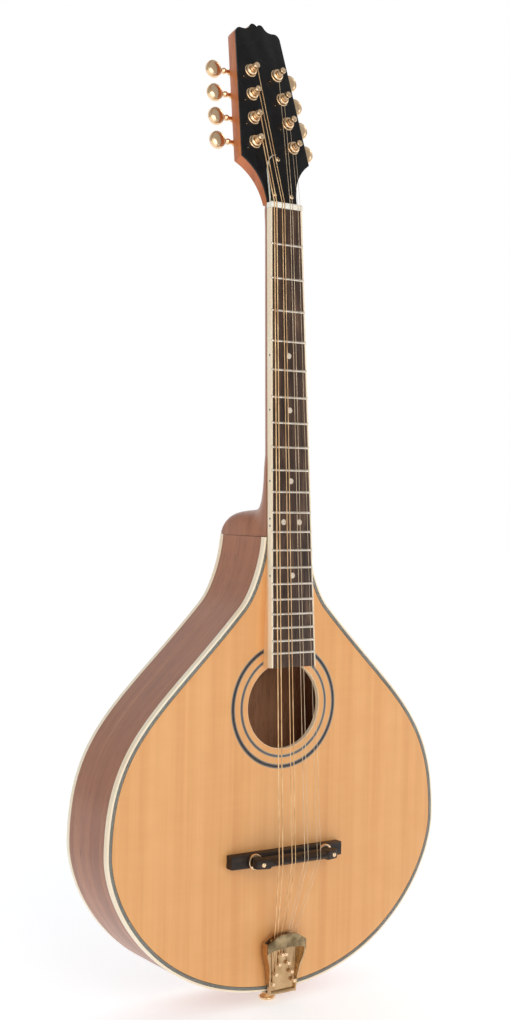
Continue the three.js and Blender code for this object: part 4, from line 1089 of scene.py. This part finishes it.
def add_saddle():
    """The saddle: an arched bar with rounded ends, a narrow crest and string notches, without its bores."""
    half, low, shoulder, high, cap, corner = 44.4, -14.9, -26.4, -28.5, 32.0, 4.4
    plans = string_plans()
    stations = set()
    for k in range(9):
        stations |= {29.5 + k * 0.4, -29.5 - k * 0.4}
        rounding = corner * (1 - math.sin(math.pi / 2 * k / 8))
        stations |= {half - rounding, -half + rounding}
    stations |= {x for x in range(-40, 41, 4)}
    for plan in plans:
        for step in (-1.0, -0.4, 0, 0.4, 1.0):
            stations.add(plan["saddle_x"] - BRIDGE_X + step * (plan["radius"] + 0.35))
    rings = []
    for x in sorted(stations):
        away = max(abs(x) - (half - corner), 0.0)
        round_in = corner - math.sqrt(max(corner ** 2 - away ** 2, 0.0))
        bottom = low - round_in
        slope = min(max((abs(x) - cap) / (half - corner - cap), 0.0), 1.0)
        top = high + (shoulder - high) * slope + round_in
        notch = max((0.35 for p in plans
                     if abs(x + BRIDGE_X - p["saddle_x"]) < p["radius"] + 0.2), default=0.0)
        crest_y = top + notch
        middle = (bottom + top) / 2
        pad = blend_between(abs(x), 29.5, 32.5)
        thick, crest = 4.0, 1.0 + 2.2 * pad
        flank = min(top + 8.5 - 6.5 * pad, middle)
        ring = [(bottom, -thick + 0.5), (bottom - 0.5, -thick), (flank, -thick), (flank - 1.2, -thick + 0.3),
                (crest_y + 0.7, -crest - 0.35), (crest_y + 0.15, -crest * 0.8),
                (crest_y, 0.0), (crest_y + 0.15, crest * 0.8),
                (crest_y + 0.7, crest + 0.35), (flank - 1.2, thick - 0.3),
                (flank, thick), (bottom - 0.5, thick),
                (bottom, thick - 0.5)]
        rings.append([(x + BRIDGE_X, y, BRIDGE_Z + z) for y, z in ring])
    points, faces = skin(rings)
    build("saddle_visual", points, faces, BODY_FRAME, ROSEWOOD_BRIDGE, body="saddle", slot="dark_rosewood",
          stands_for=["saddle"], smooth=40)


# ---------------------------------------------------------------- tailpiece and strap button

def add_tail():
    top_z, corner_z = JOINT_Z - 361, JOINT_Z - 368.5
    roof_half, top_half, tail_half = 9.0, 21.2, 14.4
    bottom = TAIL_Z - 0.3 - 1.5
    behind = -0.3 - 3.2
    front = behind - 2.0
    roof = [(top_half, corner_z), (roof_half, top_z), (-roof_half, top_z), (-top_half, corner_z)]

    def half_at(z):
        """Half the width at height z: a slow taper from the tail, then a flare under the bar."""
        flare = 2.3 * blend_between(z, corner_z - 25.5, corner_z - 9.5)
        return min(tail_half + 0.117 * (z - bottom) + flare, top_half)

    heights = [bottom + (corner_z - bottom) * k / 14 for k in range(15)]
    flank = [(half_at(z), z) for z in heights]
    shapes = [prism([(-x, z) for x, z in reversed(flank[:-1])] + flank[:-1] + roof, front, behind)]
    # The tab that folds over the tail, with rounded far corners.
    tab = [(-tail_half, front), (tail_half, front), (tail_half, 30), (tail_half - 4, 34),
           (-tail_half + 4, 34), (-tail_half, 30)]
    points, faces = prism(tab, bottom, TAIL_Z - 0.3)
    shapes.append(([(x, z, y) for x, y, z in points], faces))
    # Side walls that stand tallest under the bar and sink towards the tail.
    for side in (-1, 1):
        wall = []
        for k, (outer, z) in enumerate(flank):
            height = -7.5 - 4.8 * blend_between(k / 14, 0.05, 0.8)
            inner = outer - 1.8
            wall.append([(side * outer, front + 0.3, z), (side * outer, height + 0.6, z),
                         (side * (outer - 0.5), height, z),
                         (side * (inner + 0.5), height, z), (side * inner, height + 0.6, z),
                         (side * inner, front + 0.3, z)])
        shapes.append(skin(wall))
    pegs = []
    lip = [(y, bottom + z) for y, z in [(front + 0.3, 0), (front - 1.2, 0),
                                        (front - 1.8, 0.6), (front - 2.0, 1.6),
                                        (front - 1.6, 2.6), (front - 0.8, 3.3), (front + 0.3, 3.6)]]
    shapes.append(skin([[(x, y, z) for y, z in lip] for x in (-tail_half + 0.9, tail_half - 0.9)]))
    for plan in string_plans():
        x, z = plan["comb_x"], plan["peg_z"]
        profile = [(0.001, front + 0.3), (1.1, front + 0.3), (1.1, -8.0), (1.7, -8.4), (1.85, -9.0),
                   (1.5, -9.4), (0.9, -9.6), (0.001, -9.6)]
        pegs.append(lathe(profile, (x, 0, z), sides=20))
    rest = [(-14, JOINT_Z - 369), (14, JOINT_Z - 369), (14, JOINT_Z - 366.2), (-14, JOINT_Z - 366.2)]
    shapes.append(prism(rest, -7.8, front + 0.5))
    points, faces = merged(*shapes)
    build("tailpiece_visual", points, faces, BODY_FRAME, GOLD_SATIN, slot="gold_plate",
          stands_for=["tailpiece"], bevel=0.3, smooth=30)

    points, faces = merged(*pegs)
    build("tailpiece_pegs", points, faces, BODY_FRAME, GOLD, slot="gold_plate", smooth=40)

    # The polished bar over the strings: its lower edge is an arch, and its two ends lean back. Its gold is
    # darker and patchy, a painted reflection of the dark things it mirrors.
    stations = sorted({top_half * math.sin(math.pi / 2 * k / 12) for k in range(-12, 13)} |
                      {-roof_half, roof_half})
    bar = []
    for x in stations:
        beyond = max(abs(x) - roof_half, 0) / (top_half - roof_half)
        low = JOINT_Z - 378 + 5.0 * math.sqrt(max(1 - (x / top_half) ** 2, 0))
        high, near = top_z + (corner_z - top_z) * beyond, -13.8 + 1.5 * beyond
        bar.append([(x, near, low), (x, near, high), (x, -11.4, high), (x, -11.4, low)])
    points, faces = skin(bar)
    build("tailpiece_bar", points, faces, BODY_FRAME, GOLD_PAINTED_REFLECTION, slot="gold_plate",
          bevel=0.45, segments=3, smooth=4)

    button_y = -FRONT
    low = bottom - 0.3
    profile = [(0.001, 0.0), (5.6, 0.0)]
    profile += [(5.6 + 2.2 * math.sin(math.pi / 2 * k / 6), 2.0 - 2.0 * math.cos(math.pi / 2 * k / 6))
                for k in range(1, 7)]
    profile += [(7.5, 2.9), (6.6, 3.7), (5.2, 4.6), (4.6, 5.6), (4.6, low - 2.6),
                (5.4, low - 1.9), (7.2, low - 1.2),
                (7.6, low - 0.9), (7.6, low), (3.0, low), (3.0, 30.0), (0.001, 30.0)]
    points, faces = lathe(profile, (0, button_y, 0), axis="z", sides=48)
    build("strap_button_visual", points, faces, BODY_FRAME, GOLD, slot="gold_plate",
          stands_for=["strap_button"], smooth=30)


# ---------------------------------------------------------------- camera, floor and light

FLOOR_GLOW = (0.44, 0.52)                 # under the instrument, and far off
ROOM_DIM = 0.42
KEY_POWER = 22.4
FILL_POWER = 6.5
SIDE_POWER = 4


def add_camera():
    """The view: from the front on the bass side, level with the neck joint."""
    yaw, pitch, roll = math.radians(34.144), math.radians(-0.796), math.radians(1.089)
    ahead = Vector((math.sin(yaw) * math.cos(pitch), math.cos(yaw) * math.cos(pitch), math.sin(pitch)))
    right = Vector((math.cos(yaw), -math.sin(yaw), 0))
    up = right.cross(ahead)
    across = right * math.cos(roll) + up * math.sin(roll)
    above = up * math.cos(roll) - right * math.sin(roll)
    camera = bpy.data.objects.new("camera", bpy.data.cameras.new("camera"))
    bpy.context.scene.collection.objects.link(camera)
    camera.data.lens = 53.1
    camera.data.sensor_width = 36
    turned = Matrix((across, above, -ahead)).transposed().to_4x4()
    camera.matrix_world = Matrix.Translation((-0.78572, -1.12403, 0.46576)) @ turned
    bpy.context.scene.camera = camera


def add_light(name, place, aim, size, power):
    lamp = bpy.data.lights.new(name, "AREA")
    lamp.shape = "RECTANGLE"
    lamp.size, lamp.size_y = size
    lamp.energy = power
    holder = bpy.data.objects.new(name, lamp)
    bpy.context.scene.collection.objects.link(holder)
    holder.location = place
    holder.rotation_euler = (Vector(aim) - Vector(place)).to_track_quat("-Z", "Y").to_euler()


def add_studio():
    recipe = Recipe("pale_floor", roughness=0.7, specular_ior_level=0.2)
    tone = recipe.noise(recipe.place((3, 3, 3)), detail=2)
    recipe.put("Base Color", recipe.mix(tone, srgb(244, 248, 252), srgb(241, 246, 251)))
    recipe.put("Emission Color", (1, 1, 1, 1))
    away = recipe.node("VectorMath", {0: recipe.place()}, output=1, operation="LENGTH")
    recipe.put("Emission Strength", recipe.level(away, 0.3, 1.6, *FLOOR_GLOW))
    points, faces = lathe([(0.001, 0), (9000, 0), (9000, -20), (0.001, -20)], axis="z", sides=64)
    floor = build("floor", points, faces, Matrix.Scale(MM, 4), recipe.material, body=None)
    add_backdrop()
    add_light("key", (-0.5, -2.8, 1.5), (0, 0, 0.4), (1.7, 1.7), KEY_POWER)
    add_light("side", (-2.6, -1.2, 1.4), (0, 0, 0.5), (1.2, 1.8), SIDE_POWER)
    add_light("fill", (2.6, -1.0, 0.9), (0, 0, 0.4), (1.2, 1.8), FILL_POWER)
    bpy.context.scene.view_settings.view_transform = "Standard"


def add_backdrop():
    """A white backdrop in a dimmer room, so that gloss and metal keep their contrast."""
    world = bpy.data.worlds.new("studio")
    bpy.context.scene.world = world
    world.use_nodes = True
    nodes, links = world.node_tree.nodes, world.node_tree.links
    direction = nodes.new("ShaderNodeTexCoord").outputs["Generated"]
    facing = nodes.new("ShaderNodeVectorMath")
    facing.operation = "DOT_PRODUCT"
    facing.inputs[1].default_value = (0.561, 0.828, 0.0)
    links.new(direction, facing.inputs[0])
    spread = nodes.new("ShaderNodeMapRange")
    spread.interpolation_type = "SMOOTHSTEP"
    for socket, value in zip(spread.inputs[1:5], (0.1, 0.8, ROOM_DIM, 1.0)):
        socket.default_value = value
    links.new(facing.outputs["Value"], spread.inputs[0])
    nodes["Background"].inputs["Color"].default_value = (1, 1, 1, 1)
    links.new(spread.outputs[0], nodes["Background"].inputs["Strength"])


add_camera()
add_studio()
add_body()
dress_inside()
add_neck()
add_fretboard()
add_tuners()
add_strings()
add_bridge()
add_tail()
